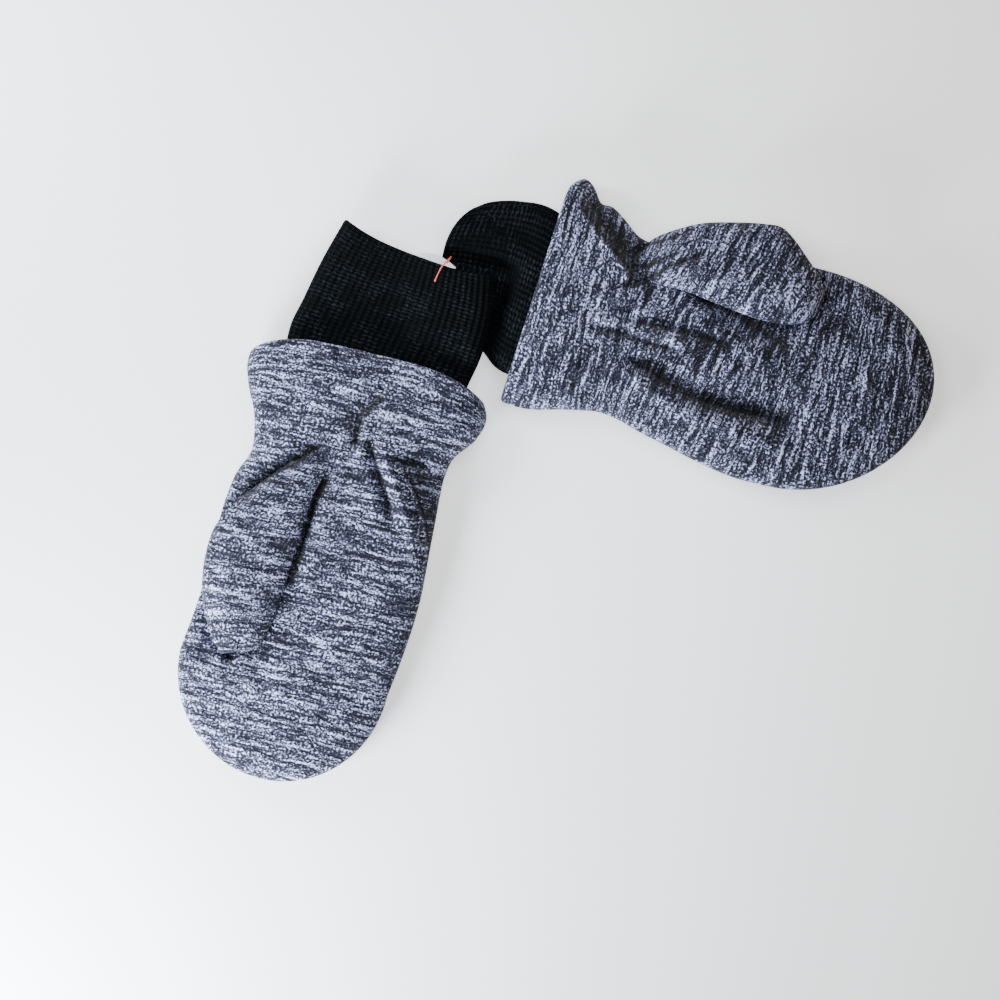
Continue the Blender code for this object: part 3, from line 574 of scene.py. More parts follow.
def wall_inset(mitten, fleece, r, inner):
    """How far a face lies inside a panel's outer form: the hem is thicker, and its end is round."""
    wall, hem, hem_width = fleece.wall / MM, fleece.hem / MM, fleece.hem_width / MM
    past_hem = mitten.rim + hem_width
    thick = wall + (hem - wall) * ease(past_hem + 3.0, past_hem, r)
    back = np.clip((mitten.rim + thick / 2 - r) / (thick / 2), 0.0, 1.0)
    half = np.sqrt(1 - 0.97 * back * back)
    return thick / 2 * (1 + half if inner else 1 - half)


def spread(count):
    """Columns across a domed panel, closer at its edges: sin(p (0.82 + 0.18 p^2) quarter turns)."""
    p = np.linspace(-1, 1, count + 1)
    return np.sin(np.pi / 2 * p * (0.82 + 0.18 * p * p))


def spread_flat(count):
    """Columns across an underside: even over the flat part, then round its rising edge."""
    p = np.linspace(-1, 1, count + 1)
    turn = np.clip((np.abs(p) - 0.6) / 0.4, 0.0, 1.0)
    flat = np.minimum(np.abs(p) / 0.6, 1.0) * FLAT_SHARE
    return np.sign(p) * (flat + (1 - FLAT_SHARE) * np.sin(np.pi / 2 * turn))


def stack(s, t, z):
    """Points from their three numbers, each spread over the whole grid."""
    return np.stack(np.broadcast_arrays(s, t, z), axis=-1)


def palm_face(mitten, fleece, r, theta, v, inner, flat=False):
    """z = seam + (crown - inset) * dome, over the hand's outline, with a groove 0.28 deep where the
    hem is stitched down."""
    inset = wall_inset(mitten, fleece, r, inner)
    s, t, u = body_place(mitten, r, theta, v, inset)
    full = by_s(mitten.sections, "fullness", r)
    high = crown(mitten, s, t, inner, flat, banked=True) - inset
    if not inner:
        high = high - 0.28 * np.exp(-(((r - mitten.rim - fleece.hem_width / MM) / 0.55) ** 2))
    return stack(s, t, SEAM + GAP / 2 + high * dome(distance_out(u, v), full))


def back_face(mitten, fleece, r, theta, v, inner):
    """Flat where it lies, a quarter round up to the seams, drawn up in short gathers."""
    inset = wall_inset(mitten, fleece, r, inner)
    s, t, u = body_place(mitten, r, theta, v, inset)
    seam = SEAM - GAP / 2
    up = rising(distance_out(u, v))
    z = inset + (seam - inset) * up
    if not inner:
        z = z + np.clip(-1.5 * gathers(mitten, s, t + 3.0), 0.0, 0.9) * (1 - up)
    return stack(s, t, z)


def thumb_place(mitten, q, v, inset):
    """(s, t, out, s0) of thumb points: q counts the table's rows, s0 is the place without the inset
    and the skew, and out reaches 1 at the edges, and at both ends over their last 8 and 9 mm."""
    rows = mitten.thumb_rows
    s, near, far = by_row(rows, ("s", "near", "far"), q)
    first, last = rows[0].s, rows[-1].s
    middle = (first + last) / 2
    end = np.clip(np.maximum((s - last) / 8.0 + 1, (first - s) / 9.0 + 1), 0.0, 1.0)
    skew = mitten.thumb_skew * ease(middle, last, s) * v
    placed_s = middle + (s - middle) * (1 - inset / (last - middle)) + skew
    t = (near + far) / 2 + ((far - near) / 2 - inset) * v
    return placed_s, t, distance_out(end, v), s


def thumb_lift(mitten, s):
    """0 at a thumb's root, where its cloth runs into the palm, and 1 past it."""
    first = mitten.thumb_rows[0].s
    return ease(first - 1.0, first + ROOT_RISE, s)


def thumb_under_face(mitten, q, v, inset):
    """bed + seam * rising, on the palm with the seams turned up, and at the root INNER_SINK under
    the palm's face, inside the hand space."""
    s, t, out, s0 = thumb_place(mitten, q, v, inset)
    bed = palm_top(mitten, s, t) + BED_GAP + (THUMB_SEAM - inset) * rising(out)
    root = np.maximum(palm_top(mitten, s, t, bare=True) - INNER_SINK, INNER_LEAST)
    return stack(s, t, root + (bed - root) * thumb_lift(mitten, s0) + inset)


def thumb_over_face(mitten, q, v, inset):
    """(1 - lift) * (the palm's own face - sink) + lift * (the bed + seam + crown), so that the root
    comes up out of the palm's cloth. Its far edge goes down to the inner half's."""
    s, t, out, s0 = thumb_place(mitten, q, v, inset)
    lift = thumb_lift(mitten, s0)
    high = by_row(mitten.thumb_rows, ("high",), q)[0] - THUMB_SEAM - inset
    folds = relief(mitten.thumb_folds, s, t, plain=inset > 0)
    if inset == 0:
        folds = folds + 0.2 * crumple(mitten, s + 60.0, t)
    full = np.where(v < 0, through(s0, *zip(*mitten.slopes)), 2.3)
    over = palm_top(mitten, s, t) + THUMB_SEAM + GAP + BED_GAP + (high + folds) * dome(out, full)
    sink = OUTER_EDGE_SINK * ease(0.6, 1.0, v)
    root = palm_top(mitten, s, t, bare=True) - OUTER_SINK - sink - inset * 0.85
    root = np.maximum(root, OUTER_LEAST - inset * 0.5)
    return stack(s, t, root + (over - root) * lift)


def ring(count):
    """Points once round a flattened tube: (x, side, angle). x runs along the flat stretches, side
    is which rounded edge a point belongs to, and angle is how far up it is turned from that edge's
    middle. Each rounded edge takes 0.106 of the points."""
    arc = 0.106
    flat = 0.5 - arc
    p = (np.arange(count) + 0.5) / count
    half = np.where(p < 0.5, p, p - 0.5)
    x = 1 - 2 * np.clip((half - arc / 2) / flat, 0.0, 1.0)
    x = np.where(p < 0.5, x, -x)
    turned = np.clip(half / arc, 0.0, 0.5) + np.clip((half - flat - arc / 2) / arc, 0.0, 0.5)
    angle = np.where(p < 0.5, 1.0, -1.0) * np.minimum(turned, 1 - turned) * np.pi
    return x, np.sign(x), angle


def cuff_face(mitten, cuff, rows, per_rib, inner):
    """A flattened knit tube from inside the wrist to its mouth, slung between its two edges and
    bowed by bow * (1 - |x|^3). Ribs are raised by depth * (1 + cos) / 2 round the outside, and the
    doubled cloth turns over at the mouth."""
    straight = len(mitten.cuff) - 1 - MOUTH_ROWS
    turn = MOUTH_ROWS * np.sin(np.linspace(0.2, 1, 6) * np.pi / 2)
    q = np.concatenate([np.linspace(0, straight, rows), straight + turn])
    at = Rung(*by_row(mitten.cuff, Rung._fields, q[:, None]))
    count = cuff.ribs * per_rib
    x, side, angle = ring(count)
    wall, depth = cuff.wall / MM, cuff.rib_depth / MM
    close = np.clip((q - (len(mitten.cuff) - 1 - MOUTH_TURN)) / MOUTH_TURN, 0.0, 1.0)[:, None]
    half = np.sqrt(1 - 0.96 * close * close)
    rib = (1 - np.cos(2 * np.pi * (np.arange(count) + 0.5) / per_rib)) / 2
    inset = wall / 2 * (1 + half) if inner else wall / 2 * (1 - half) + depth * half * rib
    width = np.hypot(at.thumb_s - at.far_s, at.thumb_t - at.far_t) / 2
    edge = (at.thumb_high + at.far_high) / 4
    across = ((width - edge) * x + side * (edge - inset) * np.cos(angle)) / width
    share = (across + 1) / 2
    s = at.far_s + (at.thumb_s - at.far_s) * share + at.bow * (1 - np.abs(across) ** 3)
    t = at.far_t + (at.thumb_t - at.far_t) * share
    step = ease(*mitten.cuff_step, t)
    low = np.maximum(at.thumb_z + (at.far_z - at.thumb_z) * step, 0.0)
    tall = at.thumb_high + (at.far_high - at.thumb_high) * step
    z = low + tall / 2 + (tall / 2 - inset) * np.sin(angle)
    upper = ease(0.0, 0.9, np.sin(angle))
    return stack(s, t, z + relief(mitten.cuff_folds, s, t) * upper)


def placed(mitten, points):
    """Points in the pair's own frame, in metres: s along the hand and t towards the thumb."""
    turn = math.radians(mitten.turn)
    along = np.array([math.cos(turn), math.sin(turn), 0.0])
    aside = mitten.side * np.array([-math.sin(turn), math.cos(turn), 0.0])
    start = np.array([*mitten.wrist, 0.0])
    up = np.array([0.0, 0.0, 1.0])
    world = points[..., :1] * along + points[..., 1:2] * aside + points[..., 2:] * up
    return (world + start) * MM


def chart_of(mitten, points, turned=0.0, around=False, start=0.0):
    """Where each grid point lies on the flat cloth, in metres: across = length along its row from
    the middle column, along = length down the middle column, both turned by an angle in degrees.
    Each piece starts elsewhere on the cloth."""
    if around:
        points = np.concatenate([points, points[:, :1]], axis=1)
    across = np.linalg.norm(np.diff(points, axis=1), axis=2)
    across = np.concatenate([np.zeros((len(points), 1)), np.cumsum(across, axis=1)], axis=1)
    middle = points.shape[1] // 2
    if around:
        across = across / across[:, -1:] * across[:, -1].mean()
    else:
        across = across - across[:, middle : middle + 1]
    down = np.linalg.norm(np.diff(points[:, middle], axis=0), axis=1)
    down = np.concatenate([[0.0], np.cumsum(down)])[:, None]
    cos, sin = math.cos(math.radians(turned)), math.sin(math.radians(turned))
    x0, y0 = mitten.chart_start
    chart = np.stack([across * cos - down * sin + x0, across * sin + down * cos + y0], axis=-1)
    return chart * MM + start


def volume(points, quads):
    """Signed volume inside closed quads: a sixth of the sum of a . (b x c) over their triangles."""
    a, b, c, d = (points[quads[:, k]] for k in range(4))
    total = np.einsum("ij,ij->i", a, np.cross(b, c)) + np.einsum("ij,ij->i", a, np.cross(c, d))
    return total.sum() / 6


def put(name, data):
    """A named object for some data, in the scene."""
    made = bpy.data.objects.new(name, data)
    bpy.context.scene.collection.objects.link(made)
    return made


def add_mesh(name, points, quads, chart, finish, closed):
    """A named object at the origin, its faces pointing out, with its cloth chart as a UV map and
    how closed its folds are as an attribute, the mask of the painted shade in its creases."""
    if volume(points / MM, quads) < 0:
        quads, chart = quads[:, ::-1], chart[:, ::-1]
    mesh = bpy.data.meshes.new(name)
    mesh.from_pydata(points.tolist(), [], quads.tolist())
    layer = mesh.uv_layers.new(name="cloth")
    layer.data.foreach_set("uv", np.ascontiguousarray(chart, dtype=np.float32).reshape(-1))
    # the closed attribute carries the mask of painted shade for the fleece's finish
    folded = mesh.attributes.new("closed", "FLOAT", "POINT")
    folded.data.foreach_set("value", closed.astype(np.float32))
    mesh.shade_smooth()
    mesh.set_sharp_from_angle(angle=math.radians(60))
    mesh.materials.append(finish)
    return put(name, mesh)


def add_wall(mitten, name, outer, inner, chart, finish, around=False, hole=None, closed=0.0):
    """A closed wall between two grids, in the mitten's place: the outer cells, the inner ones
    turned over, and a strip of quads along every free edge, also round a hole given as a mask of
    cells. closed says how closed the outer face's folds are, which is the mask of their painted
    shade."""
    rows, columns = outer.shape[:2]
    wide = columns + int(around)
    size = rows * wide
    i, j = np.divmod(np.arange(size), wide)
    vertex = i * columns + j % columns
    vertex = np.concatenate([vertex, vertex + rows * columns])
    grid = np.arange(size).reshape(rows, wide)
    kept = np.ones((rows - 1, wide - 1), bool) if hole is None else ~hole
    corner = [grid[:-1, :-1], grid[1:, :-1], grid[1:, 1:], grid[:-1, 1:]]
    cells = np.stack([c[kept] for c in corner], axis=1)
    beside = np.pad(kept, 1)
    if around:
        beside[:, 0], beside[:, -1] = beside[:, -2], beside[:, 1]
    free = [
        kept & ~beside[1:-1, :-2],
        kept & ~beside[2:, 1:-1],
        kept & ~beside[1:-1, 2:],
        kept & ~beside[:-2, 1:-1],
    ]
    quads = [cells, cells[:, ::-1] + size]
    for k in range(4):
        first, second = corner[k][free[k]], corner[(k + 1) % 4][free[k]]
        quads.append(np.stack([second, first, first + size, second + size], axis=1))
    quads = np.concatenate(quads)
    points = placed(mitten, np.concatenate([outer.reshape(-1, 3), inner.reshape(-1, 3)]))
    flat = np.tile(chart.reshape(-1, 2), (2, 1))
    closed = np.broadcast_to(closed, outer.shape[:2]).reshape(-1)
    closed = np.concatenate([closed, 0 * closed])
    quads_on = vertex[quads]
    used, packed = np.unique(quads_on, return_inverse=True)
    packed = packed.reshape(quads_on.shape)
    return add_mesh(name, points[used], packed, flat[quads], finish, closed[used])


def thumb_way(mitten):
    """The rectangle (s range, t range) where a hand space opens into its thumb, under the part of
    the thumb that lies flat, and clear of the palm's own edge."""
    rows = mitten.thumb_rows
    first = rows[0].s + ROOT_RISE
    near = by_s(rows, "near", first) + WAY_CLEAR[0]
    far = by_s(rows, "far", first) - WAY_CLEAR[1]
    palm_edge = by_s(mitten.sections, "thumb_edge", first) - WAY_CLEAR[2]
    return (first, first + WAY_LENGTH), (near, min(far, palm_edge))


def way_mask(mitten, face):
    """The cells of a face whose corners all lie inside the thumb's way."""
    (s0, s1), (t0, t1) = thumb_way(mitten)
    s, t = face[..., 0], face[..., 1]
    inside = (s > s0) & (s < s1) & (t > t0) & (t < t1)
    return inside[:-1, :-1] & inside[1:, :-1] & inside[1:, 1:] & inside[:-1, 1:]


# ---- Finishes ----


class Wire:
    """A node's output that can stand in sums: each sign adds the Math node of that name."""

    def __init__(self, finish, socket):
        self.finish, self.socket = finish, socket

    def math(self, operation, *values):
        sockets = dict(enumerate(values))
        return self.finish.node("ShaderNodeMath", {"operation": operation}, sockets)

    def __add__(self, other):
        return self.math("ADD", self, other)

    def __radd__(self, other):
        return self.math("ADD", other, self)

    def __sub__(self, other):
        return self.math("SUBTRACT", self, other)

    def __rsub__(self, other):
        return self.math("SUBTRACT", other, self)

    def __mul__(self, other):
        return self.math("MULTIPLY", self, other)

    def __rmul__(self, other):
        return self.math("MULTIPLY", other, self)

    def __truediv__(self, other):
        return self.math("DIVIDE", self, other)

    def __rtruediv__(self, other):
        return self.math("DIVIDE", other, self)

    def __pow__(self, other):
        return self.math("POWER", self, other)

    def __rpow__(self, other):
        return self.math("POWER", other, self)

    def wave(self):
        """0.5 + 0.5 sin(2 pi x): one swell for each whole number."""
        return self.math("SINE", self * (2 * math.pi)) * 0.5 + 0.5

    def size(self):
        return self.math("ABSOLUTE", self)

    def step(self, low, high):
        """0 below low, 1 above high, smooth between."""
        sockets = {"Value": self, "From Min": low, "From Max": high}
        return self.finish.node("ShaderNodeMapRange", {"interpolation_type": "SMOOTHSTEP"}, sockets)


class Finish:
    """A material under construction."""

    def __init__(self, name, roughness, **constants):
        self.material = bpy.data.materials.new(name)
        self.material.use_nodes = True
        self.tree = self.material.node_tree
        self.shader = self.tree.nodes["Principled BSDF"]
        self.shader.inputs["Roughness"].default_value = roughness
        for socket, value in constants.items():
            self.shader.inputs[socket.replace("_", " ")].default_value = value

    def node(self, kind, settings=None, sockets=None, out=0):
        """A node of any kind: its settings first, then the values or wires of its sockets."""
        made = self.tree.nodes.new(kind)
        for name, value in (settings or {}).items():
            setattr(made, name, value)
        for name, value in (sockets or {}).items():
            self.feed(made.inputs[name], value)
        return Wire(self, made.outputs[out])

    def feed(self, socket, value):
        if isinstance(value, Wire):
            self.tree.links.new(value.socket, socket)
        else:
            socket.default_value = value

    def surface(self, socket, value):
        self.feed(self.shader.inputs[socket], value)

    def split(self, vector):
        """A vector's X and Y."""
        x = self.node("ShaderNodeSeparateXYZ", sockets={"Vector": vector})
        return x, Wire(self, x.socket.node.outputs["Y"])

    def cloth(self):
        """(across, along) on the flat cloth, in millimetres."""
        across, along = self.split(self.node("ShaderNodeUVMap", {"uv_map": "cloth"}))
        return across * (1 / MM), along * (1 / MM)

    def noise(self, across, along, detail=2.0, rough=0.5):
        """Soft noise over two numbers, one cell to each whole step."""
        place = self.node("ShaderNodeCombineXYZ", sockets={"X": across, "Y": along})
        sockets = {"Vector": place, "Scale": 1.0, "Detail": detail, "Roughness": rough}
        return self.node("ShaderNodeTexNoise", {"noise_dimensions": "2D"}, sockets)

    def blend(self, share, first, second):
        """first where share is 0, second where it is 1, as a colour."""
        settings = {"data_type": "RGBA", "clamp_factor": True}
        return self.node("ShaderNodeMix", settings, {0: share, 6: first, 7: second}, out=2)

    def bump(self, height, strength, distance):
        sockets = {"Height": height, "Strength": strength, "Distance": distance}
        self.surface("Normal", self.node("ShaderNodeBump", sockets=sockets))


def colour(value):
    """A setting's colour as a socket takes it, opaque."""
    return (*value, 1.0)


def marled_fleece(fleece):
    """Brushed knit of space-dyed yarn: a share n of light yarn, from long streaks along the rows of
    stitches, short flecks of single loops and slow bands, gives the colour dark + (light - dark) *
    YARN_CONTRAST^(n - 1), as yarn looks even in steps of brightness. In closed folds the colour is
    blended towards a painted shade colour, which stands for shade in the creases. The pile stands
    up in small tufts."""
    finish = Finish(
        "marled_fleece", 0.92, Sheen_Weight=0.05, Sheen_Roughness=0.5, Specular_IOR_Level=0.2
    )
    across, along = finish.cloth()
    sway = finish.noise(across / 16.0, along / 7.0) - 0.5
    curl = finish.noise(across / 2.2, along / 1.3, detail=1.0) - 0.5
    along = along + sway * 2.6 + curl * 0.45
    course, streak = fleece.course / MM, fleece.streak / MM
    streaks = finish.noise(across / streak, along / (course * 0.55))
    ridges = finish.noise(across / (streak * 0.42), along / (course * 0.5) + 40.0, detail=1.5)
    flecks = finish.noise(across / 0.8, along / 0.68, rough=0.6)
    bands = finish.noise(across / 19.0, along / 1.7, detail=1.0)
    rows = (finish.noise(across / 11.0, along / 2.3 + 20.0, detail=1.0) - 0.5).size()
    rows = rows.step(0.0, 0.07)
    bright = (finish.noise(across / 10.0, along / 2.0 + 60.0, detail=1.0) - 0.5).size()
    bright = bright.step(0.06, 0.0)
    share = streaks - 0.5 + (ridges - 0.5) * 0.95 + (flecks - 0.5) * 3.0 + (bands - 0.5) * 1.2
    share = share + rows * 0.44 + bright * 0.14 + 0.03
    dark, light = colour(fleece.dark_yarn), colour(fleece.light_yarn)
    yarn = finish.blend(YARN_CONTRAST ** (share - 1.0), dark, light)
    # painted shade: the closed attribute blends the yarn towards the painted fold shade colour in
    # creases and beside drops
    closed = finish.node("ShaderNodeAttribute", {"attribute_name": "closed"}, out=2)
    finish.surface("Base Color", finish.blend(closed * 0.88, yarn, colour(fleece.painted_fold_shade)))
    tufts = finish.noise(across / 0.7, along / 0.6, detail=3.0, rough=0.6)
    height = share * 0.4 + ridges * 1.3 + rows * 0.35 + tufts * 0.6
    finish.bump(height, 0.85, 0.0007)
    return finish.material


def rib_knit(cuff):
    """Fine black 1 by 1 rib: loops follow each other along every rib, and a painted highlight, the
    glint colour on their upper edges, stands for the fur of the yarn catching light."""
    finish = Finish("ribbed_black_yarn", 0.95, Specular_IOR_Level=0.05)
    across, along = finish.cloth()
    slant = (finish.noise(across / 1.6, along / 1.1, detail=1.0) - 0.5) * 1.2
    loop = ((along + slant) / 1.25).wave()
    patch = finish.noise(across / 9.0, along / 9.0).step(0.42, 0.62)
    fur = finish.noise(across / 0.9, along / 0.7, rough=0.7)
    # painted highlight: where loops and fur would catch light, the yarn's colour turns to the glint
    # colour
    lit = (loop * 0.6 + fur * 0.7).step(0.78, 1.0) * (patch * 0.8 + 0.2)
    finish.surface("Base Color", finish.blend(lit, colour(cuff.yarn), colour(cuff.glint)))
    finish.bump(loop * 0.6 + fur * 0.6, 0.5, 0.0004)
    return finish.material


def satin(label):
    """White satin ribbon: fine threads along its length with a soft gloss."""
    finish = Finish("label_satin", 0.38, Sheen_Weight=0.1)
    across, along = finish.cloth()
    threads = (across / 0.12).wave()
    dull = finish.noise(across / 1.5, along / 3.0)
    grey = (0.5, 0.52, 0.56, 1.0)
    finish.surface("Base Color", finish.blend(dull * 0.25, colour(label.satin), grey))
    finish.surface("Roughness", dull * 0.2 + 0.3)
    finish.bump(threads, 0.2, 0.00005)
    return finish.material


def red_thread(label):
    """Twisted polyester thread."""
    finish = Finish("red_thread", 0.5, Sheen_Weight=0.1)
    across, along = finish.cloth()
    twist = ((across * 2.0 + along) / 0.5).wave()
    shaded = (0.42, 0.05, 0.04, 1.0)
    finish.surface("Base Color", finish.blend(twist * 0.5, colour(label.thread), shaded))
    finish.bump(twist, 0.4, 0.00005)
    return finish.material


def pale_surface(stage):
    """A matt pale surface with the faintest unevenness, lit softly from below."""
    finish = Finish("pale_surface", 0.85)
    x, y = finish.split(finish.node("ShaderNodeTexCoord", out=3))
    darker = colour(0.985 * c for c in stage.surface)
    cloud = finish.noise(x * 3.0, y * 3.0)
    finish.surface("Base Color", finish.blend(cloud, colour(stage.surface), darker))
    finish.surface("Emission Color", colour(stage.surface))
    finish.surface("Emission Strength", stage.glow)
    return finish.material


# ---- Operators: one for each kind of piece ----


def fleece_of(context):
    """The fleece's settings and its finish, which is made for the first piece."""
    fleece = context.scene.mittens_fleece
    return fleece, bpy.data.materials.get("marled_fleece") or marled_fleece(fleece)


def settle(piece, node, slot, flat, area, held, *rests_on):
    """Hides the CAD part of a piece's node and hangs the piece on the root body."""
    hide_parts(node)
    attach(piece, "root")


class MITTENS_OT_palms(bpy.types.Operator):
    """Palm panels: domed, gathered at the wrist, flared to a turned hem, folded as listed"""

    bl_idname = "mittens.palms"
    bl_label = "Palm panels"

    def execute(self, context):
        fleece, finish = fleece_of(context)
        for mitten in PAIR:
            hand = mitten.name
            r, theta = stations(mitten, fleece.point / MM)
            v = spread(int(0.07 / fleece.point))  # a palm is about 70 mm wide
            outer = palm_face(mitten, fleece, r, theta, v, False)
            inner = palm_face(mitten, fleece, r, theta, v, True)
            chart = chart_of(mitten, palm_face(mitten, fleece, r, theta, v, False, flat=True))
            # the rows of stitches slope across the palm
            slope = through(outer[..., 0], *zip(*mitten.row_slopes))
            chart[..., 1] -= (chart[..., 0] - mitten.chart_start[0] * MM) * slope
            made = add_wall(
                mitten, f"palm_{hand}_cloth", outer, inner, chart, finish,
                hole=way_mask(mitten, outer),
                closed=painted_fold_shade_mask(mitten.palm_folds, outer[..., 0], outer[..., 1]),
            )
            settle(
                made, f"palm_{hand}", "heather_fleece", (0.092, 0.152), 0.0122,
                "gathered", f"back_{hand}",
            )
        return {"FINISHED"}


class MITTENS_OT_backs(bpy.types.Operator):
    """Back panels: flat where they lie, turned up to the side seams"""

    bl_idname = "mittens.backs"
    bl_label = "Back panels"

    def execute(self, context):
        fleece, finish = fleece_of(context)
        for mitten in PAIR:
            hand = mitten.name
            r, theta = stations(mitten, 2.2 * fleece.point / MM)
            v = spread_flat(80)
            outer = back_face(mitten, fleece, r, theta, v, False)
            inner = back_face(mitten, fleece, r, theta, v, True)
            chart = chart_of(mitten, outer, start=0.5)
            made = add_wall(mitten, f"back_{hand}_cloth", outer, inner, chart, finish)
            settle(
                made, f"back_{hand}", "heather_fleece", (0.082, 0.148), 0.0101, "gathered"
            )
        return {"FINISHED"}


class MITTENS_OT_thumbs(bpy.types.Operator):
    """Thumbs: an outer half that runs into the palm at its root, and an inner half on the palm"""

    bl_idname = "mittens.thumbs"
    bl_label = "Thumbs"

    def execute(self, context):
        fleece, finish = fleece_of(context)
        wall = fleece.thumb_wall / MM
        for mitten in PAIR:
            hand = mitten.name
            last = len(mitten.thumb_rows) - 1
            q = np.linspace(0, last, 121)[:, None]
            v = spread(72)
            outer = thumb_over_face(mitten, q, v, 0.0)
            inner = thumb_over_face(mitten, q, v, wall)
            chart = chart_of(mitten, outer, mitten.thumb_turn, start=0.003)
            made = add_wall(
                mitten, f"thumb_{hand}_outer_cloth", outer, inner, chart, finish,
                closed=painted_fold_shade_mask(mitten.thumb_folds, outer[..., 0], outer[..., 1]),
            )
            settle(
                made, f"thumb_outer_{hand}", "heather_fleece", (0.034, 0.074), 0.0019,
                "laid", f"thumb_inner_{hand}",
            )
            v = spread_flat(48)
            outer = thumb_under_face(mitten, q, v, 0.0)
            inner = thumb_under_face(mitten, q, v, wall)
            made = add_wall(
                mitten, f"thumb_{hand}_inner_cloth", outer, inner,
                chart_of(mitten, outer, start=0.25), finish, hole=way_mask(mitten, outer),
            )
            settle(
                made, f"thumb_inner_{hand}", "heather_fleece", (0.032, 0.074), 0.0017,
                "laid", f"palm_{hand}",
            )
        return {"FINISHED"}


class MITTENS_OT_cuffs(bpy.types.Operator):
    """Cuffs: doubled rib-knit tubes, flattened as they lie, one across the other"""

    bl_idname = "mittens.cuffs"
    bl_label = "Cuffs"

    def execute(self, context):
        cuff = context.scene.mittens_cuff
        finish = rib_knit(cuff)
        for mitten in PAIR:
            hand = mitten.name
            outer = cuff_face(mitten, cuff, 60, 8, False)
            inner = cuff_face(mitten, cuff, 60, 8, True)
            chart = chart_of(mitten, outer, around=True)
            name = f"cuff_{hand}_knit"
            made = add_wall(mitten, name, outer, inner, chart, finish, around=True)
            settle(
                made, f"cuff_{hand}", "black_rib_knit", (0.125, 0.066), None,
                "laid", f"back_{hand}",
            )
        return {"FINISHED"}


class MITTENS_OT_care_label(bpy.types.Operator):
    """Blank satin label just inside the mouth of the upper cuff"""

    bl_idname = "mittens.care_label"
    bl_label = "Care label"

    def execute(self, context):
        label = context.scene.mittens_label
        cuff = context.scene.mittens_cuff
        mouth = LEFT.cuff[-1]
        across = np.linspace(-0.5, 0.5, 41)
        along = np.linspace(0, 1, 31)[:, None]
        t = LABEL_MIDDLE + label.width / MM * across + 0.0 * along
        share = (t - mouth.far_t) / (mouth.thumb_t - mouth.far_t)
        edge = mouth.far_s + (mouth.thumb_s - mouth.far_s) * share
        edge = edge + mouth.bow * (1 - np.abs(2 * share - 1) ** 3)
        s = edge - 2.5 * np.cos(2.7 * across) + label.length / MM * along  # its end bows outwards
        step = ease(*LEFT.cuff_step, t)
        ceiling = mouth.thumb_z + (mouth.far_z - mouth.thumb_z) * step
        ceiling = ceiling + mouth.far_high - cuff.wall / MM
        top = stack(s, t, ceiling - LABEL_DROP - 0.25 * np.cos(2 * np.pi * across))
        under = top - np.array([0.0, 0.0, label.thick / MM])
        chart = chart_of(LEFT, top)
        made = add_wall(LEFT, "care_label_a_satin", top, under, chart, satin(label))
        settle(made, "care_label_a", "white_satin", (0.0142, 0.0102), None, "laid", "cuff_a")
        return {"FINISHED"}


class MITTENS_OT_thread(bpy.types.Operator):
    """End of the red tacking thread that hangs from the label over the cuff"""

    bl_idname = "mittens.thread"
    bl_label = "Tacking thread"

    def execute(self, context):
        label = context.scene.mittens_label
        radius = label.thread_thick / 2 / MM
        q = np.linspace(0.0, 1.0, 49)
        path = np.array(THREAD_PATH)
        count = np.arange(len(path))
        middle = [through(q * count[-1], count, column) for column in path.T]
        middle = np.stack(middle, axis=1)
        ahead = np.gradient(middle, axis=0)
        ahead /= np.linalg.norm(ahead, axis=1, keepdims=True)
        beside = np.cross(ahead, [0.0, 0.0, 1.0])
        beside /= np.linalg.norm(beside, axis=1, keepdims=True)
        over = np.cross(beside, ahead)
        # a small knot near the end, then a taper
        knotted = 1 + 0.7 * np.exp(-(((q - 0.97) / 0.02) ** 2))
        thick = radius * knotted * np.sqrt(1 - 0.9 * ease(0.985, 1.0, q))
        turn = np.linspace(0.0, 2 * math.pi, 10, endpoint=False)[:, None]
        rings = beside[:, None] * np.cos(turn) + over[:, None] * np.sin(turn)
        outer = middle[:, None] + thick[:, None, None] * rings
        core = middle[:, None] + 0.1 * thick[:, None, None] * rings
        chart = chart_of(LEFT, outer, around=True)
        finish = red_thread(label)
        made = add_wall(LEFT, "tacking_thread_a", outer, core, chart, finish, around=True)
        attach(made, "root")
        return {"FINISHED"}


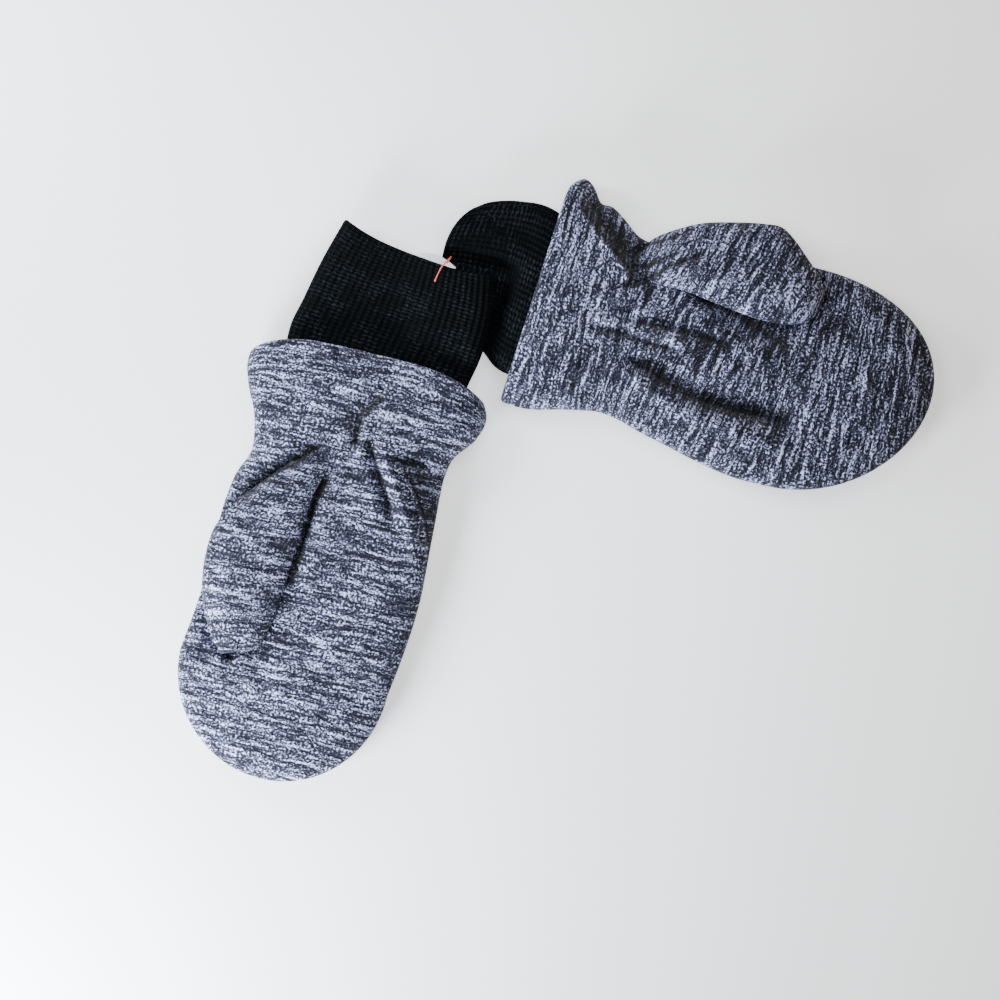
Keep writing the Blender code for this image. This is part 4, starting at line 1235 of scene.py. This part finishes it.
class MITTENS_OT_stage(bpy.types.Operator):
    """A pale surface, a cool window light low from one side, a warm fill, and the camera above"""

    bl_idname = "mittens.stage"
    bl_label = "Surface, lights and camera"

    def execute(self, context):
        stage = context.scene.mittens_stage
        x, y = stage.view_centre
        left, right, near, far = x - STAGE_HALF, x + STAGE_HALF, y - STAGE_HALF, y + STAGE_HALF
        corners = [(left, near), (right, near), (right, far), (left, far)]
        mesh = bpy.data.meshes.new("surface")
        mesh.from_pydata([(*corner, -STAGE_DROP) for corner in corners], [], [(0, 1, 2, 3)])
        mesh.materials.append(pale_surface(stage))
        put("surface", mesh)
        for name, place, size, setting, hue in LAMPS:
            light = bpy.data.lights.new(name, "AREA")
            light.shape, light.size, light.color = "DISK", size, hue
            light.energy = getattr(stage, setting)
            lamp = put(name, light)
            lamp.location = place
            down = np.array(LAMP_AIM) - np.array(place)
            tilt = math.acos(-down[2] / np.linalg.norm(down))
            lamp.rotation_euler = (tilt, 0.0, math.atan2(down[1], down[0]) - math.pi / 2)
        world = bpy.data.worlds.new("sky")
        context.scene.world = world
        world.use_nodes = True
        sky = world.node_tree.nodes["Background"]
        sky.inputs["Color"].default_value = (1.0, 0.86, 0.6, 1.0)
        sky.inputs["Strength"].default_value = stage.sky
        lens = bpy.data.cameras.new("view_from_above")
        lens.sensor_width = 36.0
        lens.lens = 36.0 * (stage.height - SEAM * MM) / stage.view_width
        lens.clip_start, lens.clip_end = 0.1, 20.0
        camera = put("view_from_above", lens)
        camera.location = (x, y, stage.height)
        context.scene.camera = camera
        return {"FINISHED"}


class MITTENS_PT_panel(bpy.types.Panel):
    """The pieces and their sizes, in the 3D view's sidebar"""

    bl_idname = "MITTENS_PT_panel"
    bl_label = "Laid Baby Mittens"
    bl_space_type = "VIEW_3D"
    bl_region_type = "UI"
    bl_category = "Mittens"

    def draw(self, context):
        for operator in OPERATORS:
            self.layout.operator(operator.bl_idname)
        for name, kind in SETTINGS.items():
            box = self.layout.box()
            for field in kind.__annotations__:
                box.prop(getattr(context.scene, name), field)


OPERATORS = (
    MITTENS_OT_palms,
    MITTENS_OT_backs,
    MITTENS_OT_thumbs,
    MITTENS_OT_cuffs,
    MITTENS_OT_care_label,
    MITTENS_OT_thread,
    MITTENS_OT_stage,
)
SETTINGS = {
    "mittens_fleece": FleeceSettings,
    "mittens_cuff": CuffSettings,
    "mittens_label": LabelSettings,
    "mittens_stage": StageSettings,
}


def register():
    """Adds the settings, operators and panel to Blender."""
    for kind in (*SETTINGS.values(), *OPERATORS, MITTENS_PT_panel):
        bpy.utils.register_class(kind)
    for name, kind in SETTINGS.items():
        setattr(bpy.types.Scene, name, PointerProperty(type=kind))


def unregister():
    """Takes them out again."""
    for name in SETTINGS:
        delattr(bpy.types.Scene, name)
    for kind in reversed((*SETTINGS.values(), *OPERATORS, MITTENS_PT_panel)):
        bpy.utils.unregister_class(kind)


def main():
    """Builds everything through the operators."""
    register()
    for operator in OPERATORS:
        group, name = operator.bl_idname.split(".")
        getattr(getattr(bpy.ops, group), name)()


if __name__ == "__main__":
    main()
